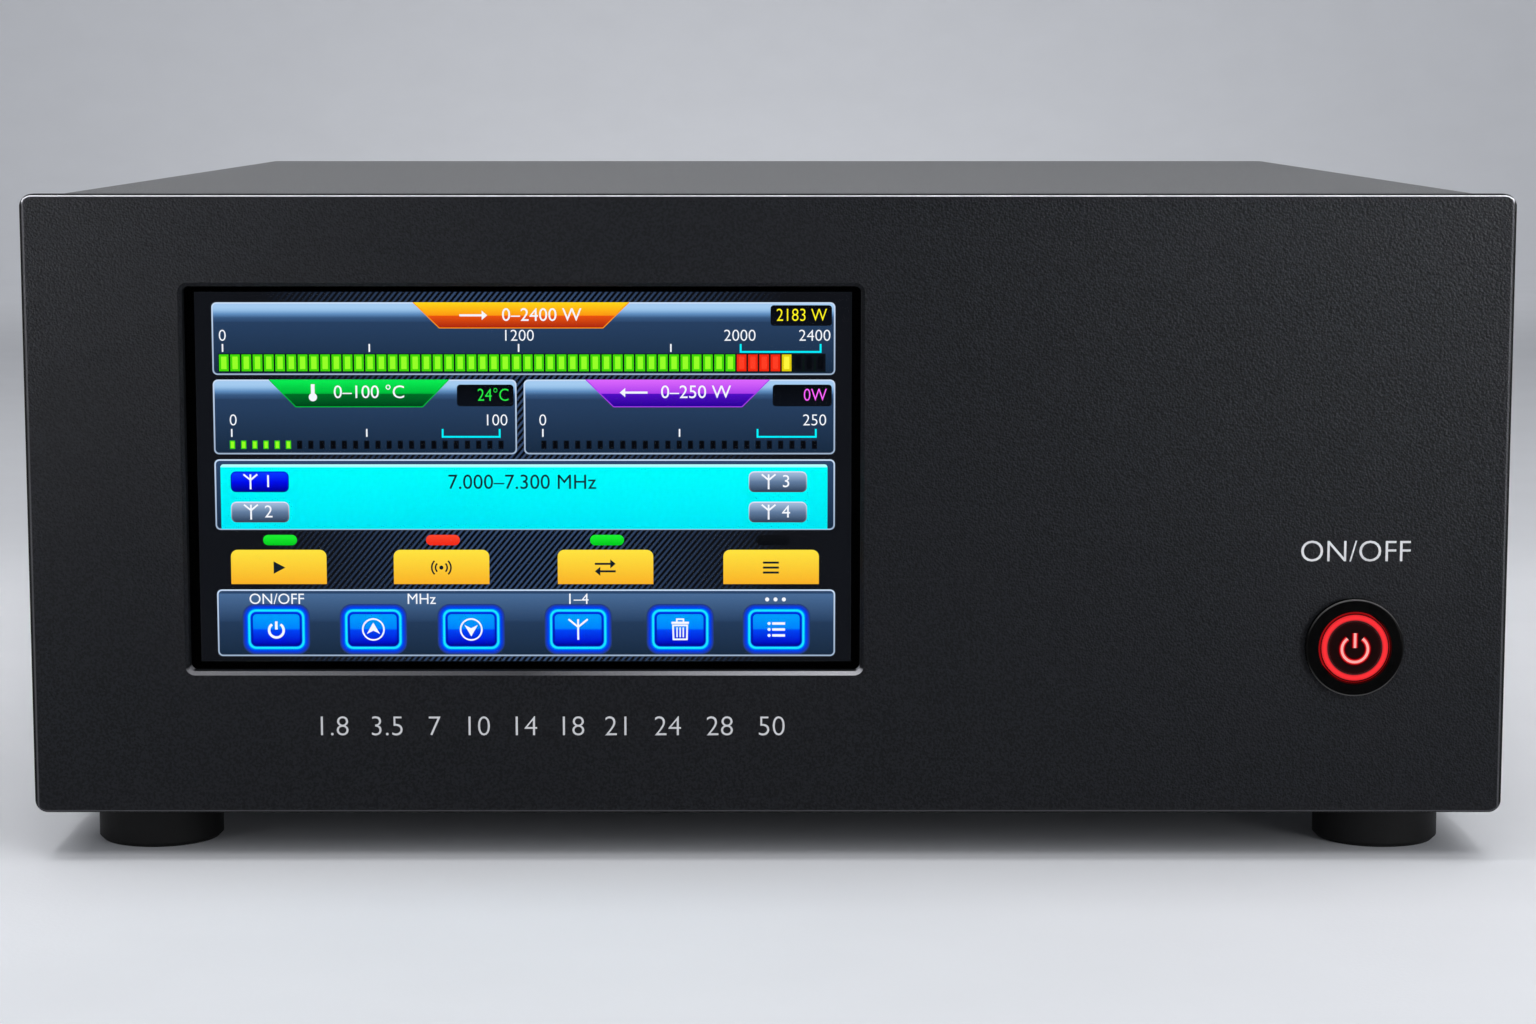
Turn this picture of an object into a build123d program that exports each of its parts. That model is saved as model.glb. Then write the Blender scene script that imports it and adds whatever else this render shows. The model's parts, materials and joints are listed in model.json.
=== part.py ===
from build123d import *
import os
from math import cos, radians, sin, sqrt

# A radio-frequency linear amplifier with a touch display. Millimetres, +Z up.
# The front panel faces -Y, and +X is to the right as seen from the front.
# The origin lies on the floor, under the middle of the outline.

# Front panel
panel_width = 352.0
panel_height = 148.0
panel_thickness = 4.0
panel_corner = 3.0
panel_edge = 0.7
stud_d = 4.0
stud_length = 9.0
stud_inset_x = 13.0
stud_inset_z = 20.0
screw_play = 0.25
thread_play = 0.1

# Case of folded sheet
case_setback = 1.0
case_depth = 394.0
sheet = 1.5
bend_radius = 2.5
fit_gap = 0.3
tray_flange = 20.0
bulkhead_flange = 14.0
post_leg = 12.0
post_wall = 2.0
rear_thickness = 2.5
rear_lip = 3.0

# Air slots in the sides of the cover
vent_count = 20
vent_pitch = 10.0
vent_width = 4.0
vent_height = 64.0
vent_start = 60.0

# Feet and the holes for the case screws
foot_d = 30.5
foot_height = 13.0
foot_chamfer = 1.0
foot_inset_x = 25.0
foot_inset_front = 30.0
foot_inset_rear = 45.0
foot_recess_d = 11.0
foot_recess_depth = 7.0
foot_screw_d = 4.0
cover_screw_d = 3.0
cover_screw_head_d = 5.4
cover_screw_count = 4
cover_screw_margin = 30.0
cover_screw_rise = 11.0
rear_screw_d = 3.0
rear_screw_margin = 22.0

# Touch display
opening_left = 37.7
opening_top = 21.7
opening_width = 160.3
opening_height = 92.0
opening_corner = 1.5
opening_chamfer = 0.9
glass_lap = 3.0
glass_thickness = 1.1
gasket_thickness = 0.5
gasket_step = 0.8
screen_border_x = 2.1
screen_border_z = 1.6
screen_recess = 0.4
lcd_depth = 6.0
bracket_thickness = 1.2
bracket_bar = 22.0
bracket_ear = 12.0
ear_reach = 7.0
ear_inset = 14.0
display_standoff_d = 6.0
display_screw_d = 3.0
board_thickness = 1.6
board_spacer_d = 5.0
board_spacer = 6.0
board_lap = 11.0

# Power button
button_inset_x = 36.25
button_rise = 40.4
bezel_d = 23.4
bezel_proud = 2.2
bezel_edge = 0.6
barrel_d = 18.8
barrel_length = 22.0
barrel_play = 0.2
cap_d = 16.8
cap_play = 0.3
cap_recess = 0.4
cap_thickness = 5.0
ring_outer_d = 15.8
ring_inner_d = 12.5
ring_depth = 1.2
ring_play = 0.05
button_travel = 2.5
stem_d = 6.0
stem_length = 9.0
spring_d = 11.0
spring_wire = 0.7
spring_turns = 3.5
spring_play = 0.1
shelf_depth = 9.0
shelf_thickness = 2.0
seal_thickness = 0.8
seal_width = 1.2
button_nut_width = 24.0
button_nut_height = 3.0
switch_d = 17.0
switch_length = 12.0
switch_base_height = 13.4
terminal_length = 6.0
terminal_width = 2.8
terminal_plate = 0.8
terminal_pitch = 5.6

# Cooling fans and the grilles punched for them
fan_depth = 25.0
fan_rim = 1.8
fan_wall = 1.6
fan_flange = 4.0
fan_corner = 5.0
fan_hole_inset = 4.75
fan_hole_d = 4.4
fan_gap = 4.0
hub_d = 36.0
hub_wall = 1.5
hub_front = 22.0
hub_back = 5.5
motor_base = 4.0
stator_d = 26.0
stator_height = 10.0
bearing_d = 9.0
bearing_height = 12.0
shaft_d = 4.0
shaft_length = 14.0
shaft_play = 0.12
strut_width = 4.0
strut_count = 4
blade_count = 7
blade_clearance = 1.2
blade_camber = 1.8
blade_thickness = 1.2
root_chord = 16.0
root_pitch = 55.0
tip_chord = 25.0
tip_pitch = 30.0
grille_core_d = 20.0
grille_slot = 4.6
grille_web = 2.6
grille_spoke = 4.0
spoke_angle = 45.0

# Rear connectors
connector_reach = 17.0
connector_flange = 25.4
connector_flange_thickness = 2.2
connector_barrel_d = 15.88
connector_bore_d = 12.6
connector_boss_d = 15.0
connector_boss = 4.5
connector_notch = 1.6
connector_edge = 0.8
insulator_step = 1.2
contact_d = 6.0
contact_bore_d = 4.1
contact_bore_depth = 15.0
contact_tail_d = 3.0
connector_play = 0.1
antenna_count = 4
jack_pitch = 31.0
jack_room = 10.7
jack_margin = 31.0
jack_drop = 29.0
input_drop = 64.0
socket_pitch = 38.0
socket_margin = 36.0
socket_flange_width = 30.8
socket_flange_height = 12.6
socket_flange = 1.0
socket_shell_width = 16.6
socket_shell_height = 8.2
socket_shell_slant = 80.0
socket_shell = 6.0
socket_body_width = 19.4
socket_body_height = 10.8
socket_body = 10.0
socket_corner = 1.2
socket_screw_spacing = 25.0
socket_screw_d = 5.0
socket_screw = 5.0
socket_screw_tail = 5.7
inlet_margin = 50.0
inlet_drop = 1.85
inlet_flange_width = 50.0
inlet_flange_height = 31.0
inlet_flange = 2.5
inlet_edge = 0.8
inlet_body_width = 32.0
inlet_body_height = 25.6
inlet_body = 24.0
inlet_corner = 4.0
inlet_mouth_width = 27.6
inlet_mouth_height = 20.6
inlet_mouth_depth = 18.0
pole_width = 8.0
pole_plate = 2.0
pole_length = 13.0
pole_pitch = 13.0
pole_rows = 8.0
pole_tail = 8.0
ground_rise = 30.0
ground_stud_d = 6.0
ground_stud_length = 14.0
ground_stud_tail = 10.0
ground_nut_width = 10.0
ground_nut_height = 5.0
ground_washer_d = 12.0
ground_washer = 1.2

# Heatsink tunnel and radio-frequency stage
sink_length = 250.0
sink_base = 10.0
sink_headroom = 14.1
sink_fin = 2.0
sink_fin_count = 22
sink_gap = 12.0
rail_height = 16.0
rail_width = 20.0
rail_wall = 2.0
rail_inset = 36.0
spreader_margin = 8.0
spreader_length = 96.0
spreader_thickness = 8.0
spreader_inset = 6.0
transistor_length = 32.0
transistor_width = 10.0
transistor_flange = 1.5
transistor_lid_length = 20.0
transistor_lid = 4.0
transistor_pitch = 62.0
output_core_width = 30.0
output_core_height = 15.0
output_core_length = 44.0
output_core_bore = 9.0
output_core_pitch = 15.0
input_core_width = 15.0
input_core_height = 7.5
input_core_length = 22.0
input_core_offset = 28.0

# Power supplies, shelf and busbars
supply_front = 50.0
supply_width = 105.0
supply_rear_gap = 62.5
supply_edge = 1.0
supply_margin = 12.0
supply_fan_d = 34.0
supply_fan_hub_d = 13.6
supply_fan_pitch = 52.5
supply_fan_depth = 3.0
shelf_play = 0.5
shelf_foot = 8.0
shelf_inset = 20.0
lug_width = 12.0
lug_plate = 3.0
lug_length = 12.0
lug_pitch = 26.0
lug_offset = 30.0
busbar_width = 12.0
busbar_plate = 3.0
busbar_rise = 5.0
busbar_spacing = 4.0
post_d = 10.0
post_pitch = 22.0
post_inset = 14.0

# Boards
standoff_d = 6.0
filter_standoff = 8.0
filter_width = 98.0
filter_inset = 5.0
coil_d = 30.0
coil_bore_d = 15.0
coil_width = 13.0
coil_headroom = 19.1
coil_pitch = 34.0
relay_length = 28.0
relay_width = 13.0
relay_height = 15.0
relay_offset = 30.0
antenna_board_gap = 22.0
antenna_board_height = 30.0
control_standoff = 8.0
control_gap = 9.7
control_margin = 34.0
control_headroom = 17.0
control_clearance = 23.6
chip_size = 22.0
chip_pitch = 44.0
chip_height = 3.0

# Levels that follow from the sizes above
case_bottom = foot_height
panel_lift = foot_height - case_setback
panel_mid_z = panel_lift + panel_height / 2
case_top = panel_lift + panel_height - case_setback
case_width = panel_width - 2 * case_setback
case_mid_z = (case_bottom + case_top) / 2
floor_z = case_bottom + sheet
roof_z = case_top - sheet - fit_gap
overall_depth = bezel_proud + panel_thickness + case_depth - rear_lip + connector_reach
front_y = bezel_proud - overall_depth / 2
panel_back_y = front_y + panel_thickness
cover_end_y = panel_back_y + case_depth
rear_face_y = cover_end_y - rear_lip
rear_inner_y = rear_face_y - rear_thickness
tray_width = case_width - 2 * (sheet + fit_gap)
inside_width = tray_width - 2 * bend_radius
bulkhead_back_y = panel_back_y + sheet
low_edge = (Align.CENTER, Align.MIN)


def facing_front(x, y, z):
    """Plane at a point, with its normal towards the front, its x along X and its y along Z."""
    return Plane((x, y, z), x_dir=(1, 0, 0), z_dir=(0, -1, 0))


def facing_rear(x, y, z):
    """Plane at a point, with its normal towards the rear."""
    return Plane((x, y, z), x_dir=(-1, 0, 0), z_dir=(0, 1, 0))


def upright(y):
    """Plane across the whole case at depth y, with its normal towards the front."""
    return facing_front(0, y, 0)


def hex_nut(width, height, bore_d):
    """Hexagon nut standing on the origin, its thread bore along Z."""
    with BuildPart() as nut:
        with BuildSketch():
            RegularPolygon(width / 2, 6, major_radius=False)
            Circle(bore_d / 2, mode=Mode.SUBTRACT)
        extrude(amount=height)
    return nut.part


def spacer(d, height, bore_d):
    """Round spacer standing on the origin, bored for a screw."""
    with BuildPart() as post:
        with BuildSketch():
            Circle(d / 2)
            Circle(bore_d / 2, mode=Mode.SUBTRACT)
        extrude(amount=height)
    return post.part


def save(builder, name):
    """Label a finished piece and write it under its name."""
    builder.part.label = name
    export_step(builder.part, f"parts/{name}.step")


os.makedirs("parts", exist_ok=True)

# Front panel: a plate with a bevelled display opening, a button hole and welded studs at the back
screen_x = -panel_width / 2 + opening_left + opening_width / 2
screen_z = panel_lift + panel_height - opening_top - opening_height / 2
button_x = panel_width / 2 - button_inset_x
button_z = panel_lift + button_rise
stud_x = panel_width / 2 - stud_inset_x
stud_z = panel_height / 2 - stud_inset_z
stud_places = [(i * stud_x, panel_mid_z + j * stud_z) for i in (-1, 1) for j in (-1, 1)]

with BuildPart() as front_panel:
    with BuildSketch(upright(panel_back_y)):
        with Locations((0, panel_mid_z)):
            RectangleRounded(panel_width, panel_height, panel_corner)
    extrude(amount=panel_thickness)
    fillet(front_panel.faces().sort_by(Axis.Y)[0].outer_wire().edges(), panel_edge)
    with BuildSketch(upright(panel_back_y)):
        with Locations((screen_x, screen_z)):
            RectangleRounded(opening_width, opening_height, opening_corner)
    extrude(amount=panel_thickness, mode=Mode.SUBTRACT)
    chamfer(front_panel.faces().sort_by(Axis.Y)[0].inner_wires()[0].edges(), opening_chamfer)
    with BuildSketch(upright(panel_back_y)):
        with Locations((button_x, button_z)):
            Circle(barrel_d / 2 + barrel_play)
    extrude(amount=panel_thickness, mode=Mode.SUBTRACT)
    with BuildSketch(upright(panel_back_y)):
        with Locations(*stud_places):
            Circle(stud_d / 2)
    extrude(amount=-stud_length)
save(front_panel, "front_panel")

# Front bulkhead: a flanged sheet behind the panel, open round the display
glass_width = opening_width + 2 * glass_lap
glass_height = opening_height + 2 * glass_lap
ear_x = glass_width / 2 + ear_reach
ear_z = glass_height / 2 - ear_inset
window_width = 2 * ear_x + bracket_ear + 2 * fit_gap
window_height = glass_height + 2 * fit_gap

with BuildPart() as front_bulkhead:
    with BuildSketch(upright(panel_back_y)):
        with Locations((0, floor_z)):
            Rectangle(inside_width, roof_z - floor_z, align=low_edge)
    extrude(amount=-bulkhead_flange)
    fillet(front_bulkhead.faces().sort_by(Axis.Y)[0].edges(), bend_radius)
    offset(amount=-sheet, openings=front_bulkhead.faces().sort_by(Axis.Y)[-1])
    with BuildSketch(upright(bulkhead_back_y)):
        with Locations((screen_x, screen_z)):
            RectangleRounded(window_width, window_height, bend_radius)
        with Locations((button_x, button_z)):
            Circle(barrel_d / 2 + barrel_play)
        with Locations(*stud_places):
            Circle(stud_d / 2 + screw_play)
    extrude(amount=sheet, mode=Mode.SUBTRACT)
save(front_bulkhead, "front_bulkhead")

# Base tray: a folded channel that carries everything inside
foot_x = panel_width / 2 - foot_inset_x
foot_places = {
    "foot_front_left": (-foot_x, front_y + foot_inset_front),
    "foot_front_right": (foot_x, front_y + foot_inset_front),
    "foot_rear_left": (-foot_x, cover_end_y - foot_inset_rear),
    "foot_rear_right": (foot_x, cover_end_y - foot_inset_rear),
}
cover_screw_y = [
    panel_back_y + cover_screw_margin + i * (case_depth - 2 * cover_screw_margin) / (cover_screw_count - 1)
    for i in range(cover_screw_count)
]
cover_screw_z = case_bottom + cover_screw_rise
cover_screw_hole = cover_screw_d / 2 + screw_play
cover_screw_planes = [
    Plane((side * case_width / 2, y, cover_screw_z), z_dir=(side, 0, 0))
    for side in (-1, 1)
    for y in cover_screw_y
]

with BuildPart() as base_tray:
    with BuildSketch(upright(panel_back_y)):
        with BuildLine():
            FilletPolyline(
                (-tray_width / 2, case_bottom + tray_flange),
                (-tray_width / 2, case_bottom),
                (tray_width / 2, case_bottom),
                (tray_width / 2, case_bottom + tray_flange),
                radius=bend_radius,
            )
            offset(amount=sheet, side=Side.LEFT)
        make_face()
    extrude(amount=panel_back_y - rear_inner_y)
    with BuildSketch(Plane.XY.offset(case_bottom)):
        with Locations(*foot_places.values()):
            Circle(foot_screw_d / 2 + screw_play)
    extrude(amount=sheet, mode=Mode.SUBTRACT)
    with BuildSketch(Plane.YZ):
        with Locations(*[(y, cover_screw_z) for y in cover_screw_y]):
            Circle(cover_screw_hole)
    extrude(amount=tray_width, both=True, mode=Mode.SUBTRACT)
save(base_tray, "base_tray")

# Feet: turned rubber pads, each with a recess for its screw
for name, (x, y) in foot_places.items():
    with BuildPart() as foot:
        with BuildSketch():
            with Locations((x, y)):
                Circle(foot_d / 2)
        extrude(amount=foot_height)
        chamfer(foot.edges().group_by(Axis.Z)[0], foot_chamfer)
        with Locations(Plane((x, y, 0), z_dir=(0, 0, -1))):
            CounterBoreHole(foot_screw_d / 2 + screw_play, foot_recess_d / 2, foot_recess_depth)
    save(foot, name)

# Top cover: roof and sides in one folded sheet, with air slots in both sides
vent_mid_y = panel_back_y + vent_start + (vent_count - 1) * vent_pitch / 2

with BuildPart() as top_cover:
    with BuildSketch(upright(panel_back_y)):
        with BuildLine():
            FilletPolyline(
                (-case_width / 2, case_bottom),
                (-case_width / 2, case_top),
                (case_width / 2, case_top),
                (case_width / 2, case_bottom),
                radius=bend_radius,
            )
            offset(amount=sheet, side=Side.RIGHT)
        make_face()
    extrude(amount=-case_depth)
    with BuildSketch(Plane.YZ):
        with Locations((vent_mid_y, case_mid_z)):
            with GridLocations(vent_pitch, 0, vent_count, 1):
                SlotOverall(vent_height, vent_width, rotation=90)
    extrude(amount=case_width, both=True, mode=Mode.SUBTRACT)
    with Locations(*cover_screw_planes):
        CounterSinkHole(cover_screw_hole, cover_screw_head_d / 2 + screw_play, depth=2 * sheet)
save(top_cover, "top_cover")

# Corner posts: angle sections that tie the rear panel to the tray
post_x = inside_width / 2
rear_screw_x = post_x - post_leg / 2
rear_screw_z = case_mid_z - case_bottom - rear_screw_margin
rear_screw_places = [(i * rear_screw_x, case_mid_z + j * rear_screw_z) for i in (-1, 1) for j in (-1, 1)]

with BuildPart() as corner_posts:
    with BuildSketch(Plane.XY.offset(floor_z)):
        with Locations((post_x, rear_inner_y)):
            Rectangle(post_leg, post_leg, align=(Align.MAX, Align.MAX))
        with Locations((post_x - post_wall, rear_inner_y - post_wall)):
            Rectangle(post_leg, post_leg, align=(Align.MAX, Align.MAX), mode=Mode.SUBTRACT)
        mirror(about=Plane.YZ)
    extrude(amount=roof_z - floor_z)
    with BuildSketch(upright(rear_inner_y)):
        with Locations(*rear_screw_places):
            Circle(rear_screw_d / 2 + screw_play)
    extrude(amount=post_wall, mode=Mode.SUBTRACT)
save(corner_posts, "corner_posts")

# Places of everything that comes through the rear panel
connector_field = (antenna_count - 1) * jack_pitch + connector_flange + jack_room
tunnel_width = inside_width - 2 * post_leg - fit_gap - connector_field
fan_size = (tunnel_width - fan_gap) / 2
fan_bore = fan_size - 2 * fan_rim
fan_hole_spacing = fan_size - 2 * fan_hole_inset
fan_x = -post_x + post_leg + fit_gap + fan_size / 2
fan_places = {"left": fan_x, "right": fan_x + fan_size + fan_gap}
tunnel_x = fan_x + (fan_size + fan_gap) / 2
antenna_x = [case_width / 2 - jack_margin - i * jack_pitch for i in reversed(range(antenna_count))]
antenna_z = case_top - jack_drop
input_z = case_top - input_drop
connector_places = {
    f"antenna_connector_{i + 1}": (x, antenna_z) for i, x in enumerate(antenna_x)
}
connector_places["rf_input_connector"] = (antenna_x[0], input_z)
socket_x = case_width / 2 - socket_margin
socket_places = [(socket_x - socket_pitch, input_z), (socket_x, input_z)]
inlet_x = case_width / 2 - inlet_margin
inlet_z = (case_bottom + input_z - socket_flange_height / 2) / 2 - inlet_drop
ground_x = antenna_x[0]
ground_z = case_bottom + ground_rise

# Rear panel: a plate with ring-and-spoke grilles punched for the fans
grille_pitch = grille_slot + grille_web
grille_rings = int((fan_bore / 2 + grille_web - grille_core_d / 2) / grille_pitch)

with BuildPart() as rear_panel:
    with BuildSketch(upright(rear_face_y)):
        with Locations((0, case_bottom)):
            Rectangle(tray_width, roof_z - case_bottom, align=low_edge)
    extrude(amount=rear_thickness)
    with BuildSketch(upright(rear_face_y)):
        with Locations(*[(x, case_mid_z) for x in fan_places.values()]):
            for ring in range(grille_rings):
                outer = fan_bore / 2 - ring * grille_pitch
                Circle(outer)
                Circle(outer - grille_slot, mode=Mode.SUBTRACT)
            for angle in (-spoke_angle, spoke_angle):
                Rectangle(grille_spoke, fan_bore, rotation=angle, mode=Mode.SUBTRACT)
            with GridLocations(fan_hole_spacing, fan_hole_spacing, 2, 2):
                Circle(fan_hole_d / 2)
        with Locations(*connector_places.values()):
            Circle(connector_boss_d / 2 + connector_play)
        with Locations(*socket_places):
            RectangleRounded(socket_body_width + 2 * fit_gap, socket_body_height + 2 * fit_gap, socket_corner)
            with GridLocations(socket_screw_spacing, 0, 2, 1):
                Circle(rear_screw_d / 2 + screw_play)
        with Locations((inlet_x, inlet_z)):
            RectangleRounded(inlet_body_width + 2 * fit_gap, inlet_body_height + 2 * fit_gap, inlet_corner)
        with Locations((ground_x, ground_z)):
            Circle(ground_stud_d / 2 + screw_play)
        with Locations(*rear_screw_places):
            Circle(rear_screw_d / 2 + screw_play)
    extrude(amount=rear_thickness, mode=Mode.SUBTRACT)
save(rear_panel, "rear_panel")

# Display stack: gasket, touch glass, LCD module, bracket and its standoffs
glass_y = panel_back_y + gasket_thickness
lcd_y = glass_y + glass_thickness
bracket_y = lcd_y + lcd_depth
bracket_back_y = bracket_y + bracket_thickness
screen_width = opening_width - 2 * screen_border_x
screen_height = opening_height - 2 * screen_border_z
lcd_width = glass_width - 2 * fit_gap
lcd_height = glass_height - 2 * fit_gap

with BuildPart() as display_gasket:
    with BuildSketch(upright(panel_back_y)):
        with Locations((screen_x, screen_z)):
            Rectangle(glass_width, glass_height)
            Rectangle(opening_width + 2 * gasket_step, opening_height + 2 * gasket_step, mode=Mode.SUBTRACT)
    extrude(amount=-gasket_thickness)
save(display_gasket, "display_gasket")

with BuildPart() as touch_glass:
    with BuildSketch(upright(glass_y)):
        with Locations((screen_x, screen_z)):
            RectangleRounded(glass_width, glass_height, opening_corner)
    extrude(amount=-glass_thickness)
save(touch_glass, "touch_glass")

with BuildPart() as lcd_module:
    with BuildSketch(upright(lcd_y)):
        with Locations((screen_x, screen_z)):
            Rectangle(lcd_width, lcd_height)
    extrude(amount=-lcd_depth)
    with BuildSketch(upright(lcd_y)):
        with Locations((screen_x, screen_z)):
            Rectangle(screen_width, screen_height)
    extrude(amount=-screen_recess, mode=Mode.SUBTRACT)
save(lcd_module, "lcd_module")

bracket_window_width = lcd_width - 2 * bracket_bar
bracket_window_height = lcd_height - 2 * bracket_bar
with BuildPart() as display_bracket:
    with BuildSketch(upright(bracket_y)):
        with Locations((screen_x, screen_z)):
            Rectangle(lcd_width, lcd_height)
            Rectangle(bracket_window_width, bracket_window_height, mode=Mode.SUBTRACT)
            with GridLocations(2 * ear_x, 2 * ear_z, 2, 2):
                Circle(bracket_ear / 2)
            with Locations((0, -ear_z), (0, ear_z)):
                Rectangle(2 * ear_x, bracket_ear)
            with GridLocations(2 * ear_x, 2 * ear_z, 2, 2):
                Circle(display_screw_d / 2 + screw_play, mode=Mode.SUBTRACT)
    extrude(amount=-bracket_thickness)
save(display_bracket, "display_bracket")

with BuildPart() as display_standoffs:
    with Locations(facing_rear(screen_x, panel_back_y, screen_z)):
        with GridLocations(2 * ear_x, 2 * ear_z, 2, 2):
            add(spacer(display_standoff_d, bracket_y - panel_back_y, display_screw_d))
save(display_standoffs, "display_standoffs")

# Display driver board, on spacers behind the bracket
spacer_x = bracket_window_width / 2 + board_spacer_d
spacer_z = bracket_window_height / 2 + board_spacer_d
display_board_y = bracket_back_y + board_spacer

with BuildPart() as display_board:
    with BuildSketch(upright(display_board_y)):
        with Locations((screen_x, screen_z)):
            RectangleRounded(
                bracket_window_width + 2 * board_lap, bracket_window_height + 2 * board_lap, opening_corner
            )
            with GridLocations(2 * spacer_x, 2 * spacer_z, 2, 2):
                Circle(display_screw_d / 2, mode=Mode.SUBTRACT)
    extrude(amount=-board_thickness)
    with BuildSketch(upright(display_board_y + board_thickness)):
        with Locations((screen_x, screen_z)):
            with GridLocations(chip_pitch, 0, 2, 1):
                Rectangle(chip_size, chip_size)
    extrude(amount=-chip_height)
save(display_board, "display_board")

# Power button: bezel body, cap with a light ring, return spring, seal, nut and switch block
barrel_bore = cap_d / 2 + cap_play
shelf_y = front_y + shelf_depth
barrel_end_y = front_y + barrel_length
cap_front_y = front_y - bezel_proud + cap_recess
cap_back_y = cap_front_y + cap_thickness
switch_face_y = cap_back_y + stem_length + button_travel + cap_play
seal_outer = barrel_d / 2 + barrel_play + seal_width + fit_gap
seal_inner = barrel_d / 2 + barrel_play

with BuildPart() as power_button_body:
    with BuildSketch(facing_front(button_x, front_y, button_z)):
        Circle(bezel_d / 2)
    extrude(amount=bezel_proud)
    fillet(power_button_body.edges().group_by(Axis.Y)[0], bezel_edge)
    with BuildSketch(facing_front(button_x, front_y, button_z)):
        Circle(barrel_d / 2)
    extrude(amount=-barrel_length)
    with BuildSketch(facing_front(button_x, shelf_y, button_z)):
        Circle(barrel_bore)
    extrude(amount=shelf_depth + bezel_proud, mode=Mode.SUBTRACT)
    with BuildSketch(facing_front(button_x, shelf_y + shelf_thickness, button_z)):
        Circle(barrel_bore)
    extrude(amount=shelf_depth + shelf_thickness - barrel_length, mode=Mode.SUBTRACT)
    with BuildSketch(facing_front(button_x, shelf_y, button_z)):
        Circle(stem_d / 2 + cap_play)
    extrude(amount=-shelf_thickness, mode=Mode.SUBTRACT)
    with BuildSketch(facing_front(button_x, front_y, button_z)):
        Circle(seal_outer + ring_play)
        Circle(barrel_d / 2, mode=Mode.SUBTRACT)
    extrude(amount=seal_thickness, mode=Mode.SUBTRACT)
save(power_button_body, "power_button_body")

with BuildPart() as power_button_seal:
    with BuildSketch(facing_front(button_x, front_y, button_z)):
        Circle(seal_outer)
        Circle(seal_inner, mode=Mode.SUBTRACT)
    extrude(amount=seal_thickness)
save(power_button_seal, "power_button_seal")

with BuildPart() as power_button_nut:
    with Locations(facing_rear(button_x, bulkhead_back_y, button_z)):
        add(hex_nut(button_nut_width, button_nut_height, barrel_d + 2 * thread_play))
save(power_button_nut, "power_button_nut")

with BuildPart() as power_button_cap:
    with BuildSketch(facing_front(button_x, cap_back_y, button_z)):
        Circle(cap_d / 2)
    extrude(amount=cap_thickness)
    fillet(power_button_cap.edges().group_by(Axis.Y)[0], cap_play)
    with BuildSketch(facing_front(button_x, cap_back_y, button_z)):
        Circle(stem_d / 2)
    extrude(amount=-stem_length)
    with BuildSketch(facing_front(button_x, cap_front_y, button_z)):
        Circle(ring_outer_d / 2 + ring_play)
        Circle(ring_inner_d / 2 - ring_play, mode=Mode.SUBTRACT)
    extrude(amount=-ring_depth, mode=Mode.SUBTRACT)
save(power_button_cap, "power_button_cap")

with BuildPart() as power_button_ring:
    with BuildSketch(facing_front(button_x, cap_front_y, button_z)):
        Circle(ring_outer_d / 2)
        Circle(ring_inner_d / 2, mode=Mode.SUBTRACT)
    extrude(amount=-ring_depth)
save(power_button_ring, "power_button_ring")

spring_start_y = cap_back_y + spring_wire / 2 + spring_play
spring_length = shelf_y - spring_wire / 2 - spring_play - spring_start_y
with BuildPart() as power_button_spring:
    with BuildLine() as coil:
        Helix(
            spring_length / spring_turns,
            spring_length,
            spring_d / 2,
            center=(button_x, spring_start_y, button_z),
            direction=(0, 1, 0),
        )
    with BuildSketch(Plane(coil.line @ 0, z_dir=coil.line % 0)):
        Circle(spring_wire / 2)
    sweep(is_frenet=True)
save(power_button_spring, "power_button_spring")

with BuildPart() as power_button_switch:
    with BuildSketch(facing_front(button_x, barrel_end_y, button_z)):
        Circle(switch_d / 2)
    extrude(amount=barrel_end_y - switch_face_y)
    with BuildSketch(facing_front(button_x, barrel_end_y, button_z)):
        Circle(barrel_d / 2)
        Rectangle(barrel_d, switch_base_height)
    extrude(amount=-switch_length)
    with BuildSketch(facing_front(button_x, barrel_end_y + switch_length, button_z)):
        with GridLocations(terminal_pitch, terminal_pitch, 2, 2):
            Rectangle(terminal_width, terminal_plate)
    extrude(amount=-terminal_length)
save(power_button_switch, "power_button_switch")

# Fan frame, in its own frame: the axis along Z, with the outlet face at the origin
with BuildPart() as fan_frame:
    with BuildSketch():
        RectangleRounded(fan_size, fan_size, fan_corner)
    extrude(amount=fan_flange)
    with BuildSketch(Plane.XY.offset(fan_depth)):
        RectangleRounded(fan_size, fan_size, fan_corner)
    extrude(amount=-fan_flange)
    with BuildSketch():
        Circle(fan_bore / 2 + fan_wall)
    extrude(amount=fan_depth)
    with BuildSketch():
        Circle(fan_bore / 2)
        with GridLocations(fan_hole_spacing, fan_hole_spacing, 2, 2):
            Circle(fan_hole_d / 2)
    extrude(amount=fan_depth, mode=Mode.SUBTRACT)
    with BuildSketch():
        with PolarLocations(0, strut_count // 2, start_angle=0, angular_range=180):
            Rectangle(fan_bore + fan_wall, strut_width)
        Circle(hub_d / 2)
    extrude(amount=motor_base)
    with BuildSketch(Plane.XY.offset(motor_base)):
        Circle(stator_d / 2)
    extrude(amount=stator_height)
    with BuildSketch(Plane.XY.offset(motor_base)):
        Circle(bearing_d / 2)
    extrude(amount=bearing_height)
    with BuildSketch(Plane.XY.offset(motor_base)):
        Circle(shaft_d / 2 + shaft_play)
    extrude(amount=bearing_height, mode=Mode.SUBTRACT)

# Fan blade: a cambered section, turned from root to tip, lofted outwards along X
tip_half_width = tip_chord / 2 * cos(radians(tip_pitch))
tip_radius = fan_bore / 2 - blade_clearance
tip_x = sqrt(tip_radius**2 - tip_half_width**2)
blade_mid = (hub_front + hub_back) / 2
blade_stations = [
    (hub_d / 2 - hub_wall, root_chord, root_pitch),
    (tip_x, tip_chord, tip_pitch),
]

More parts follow.
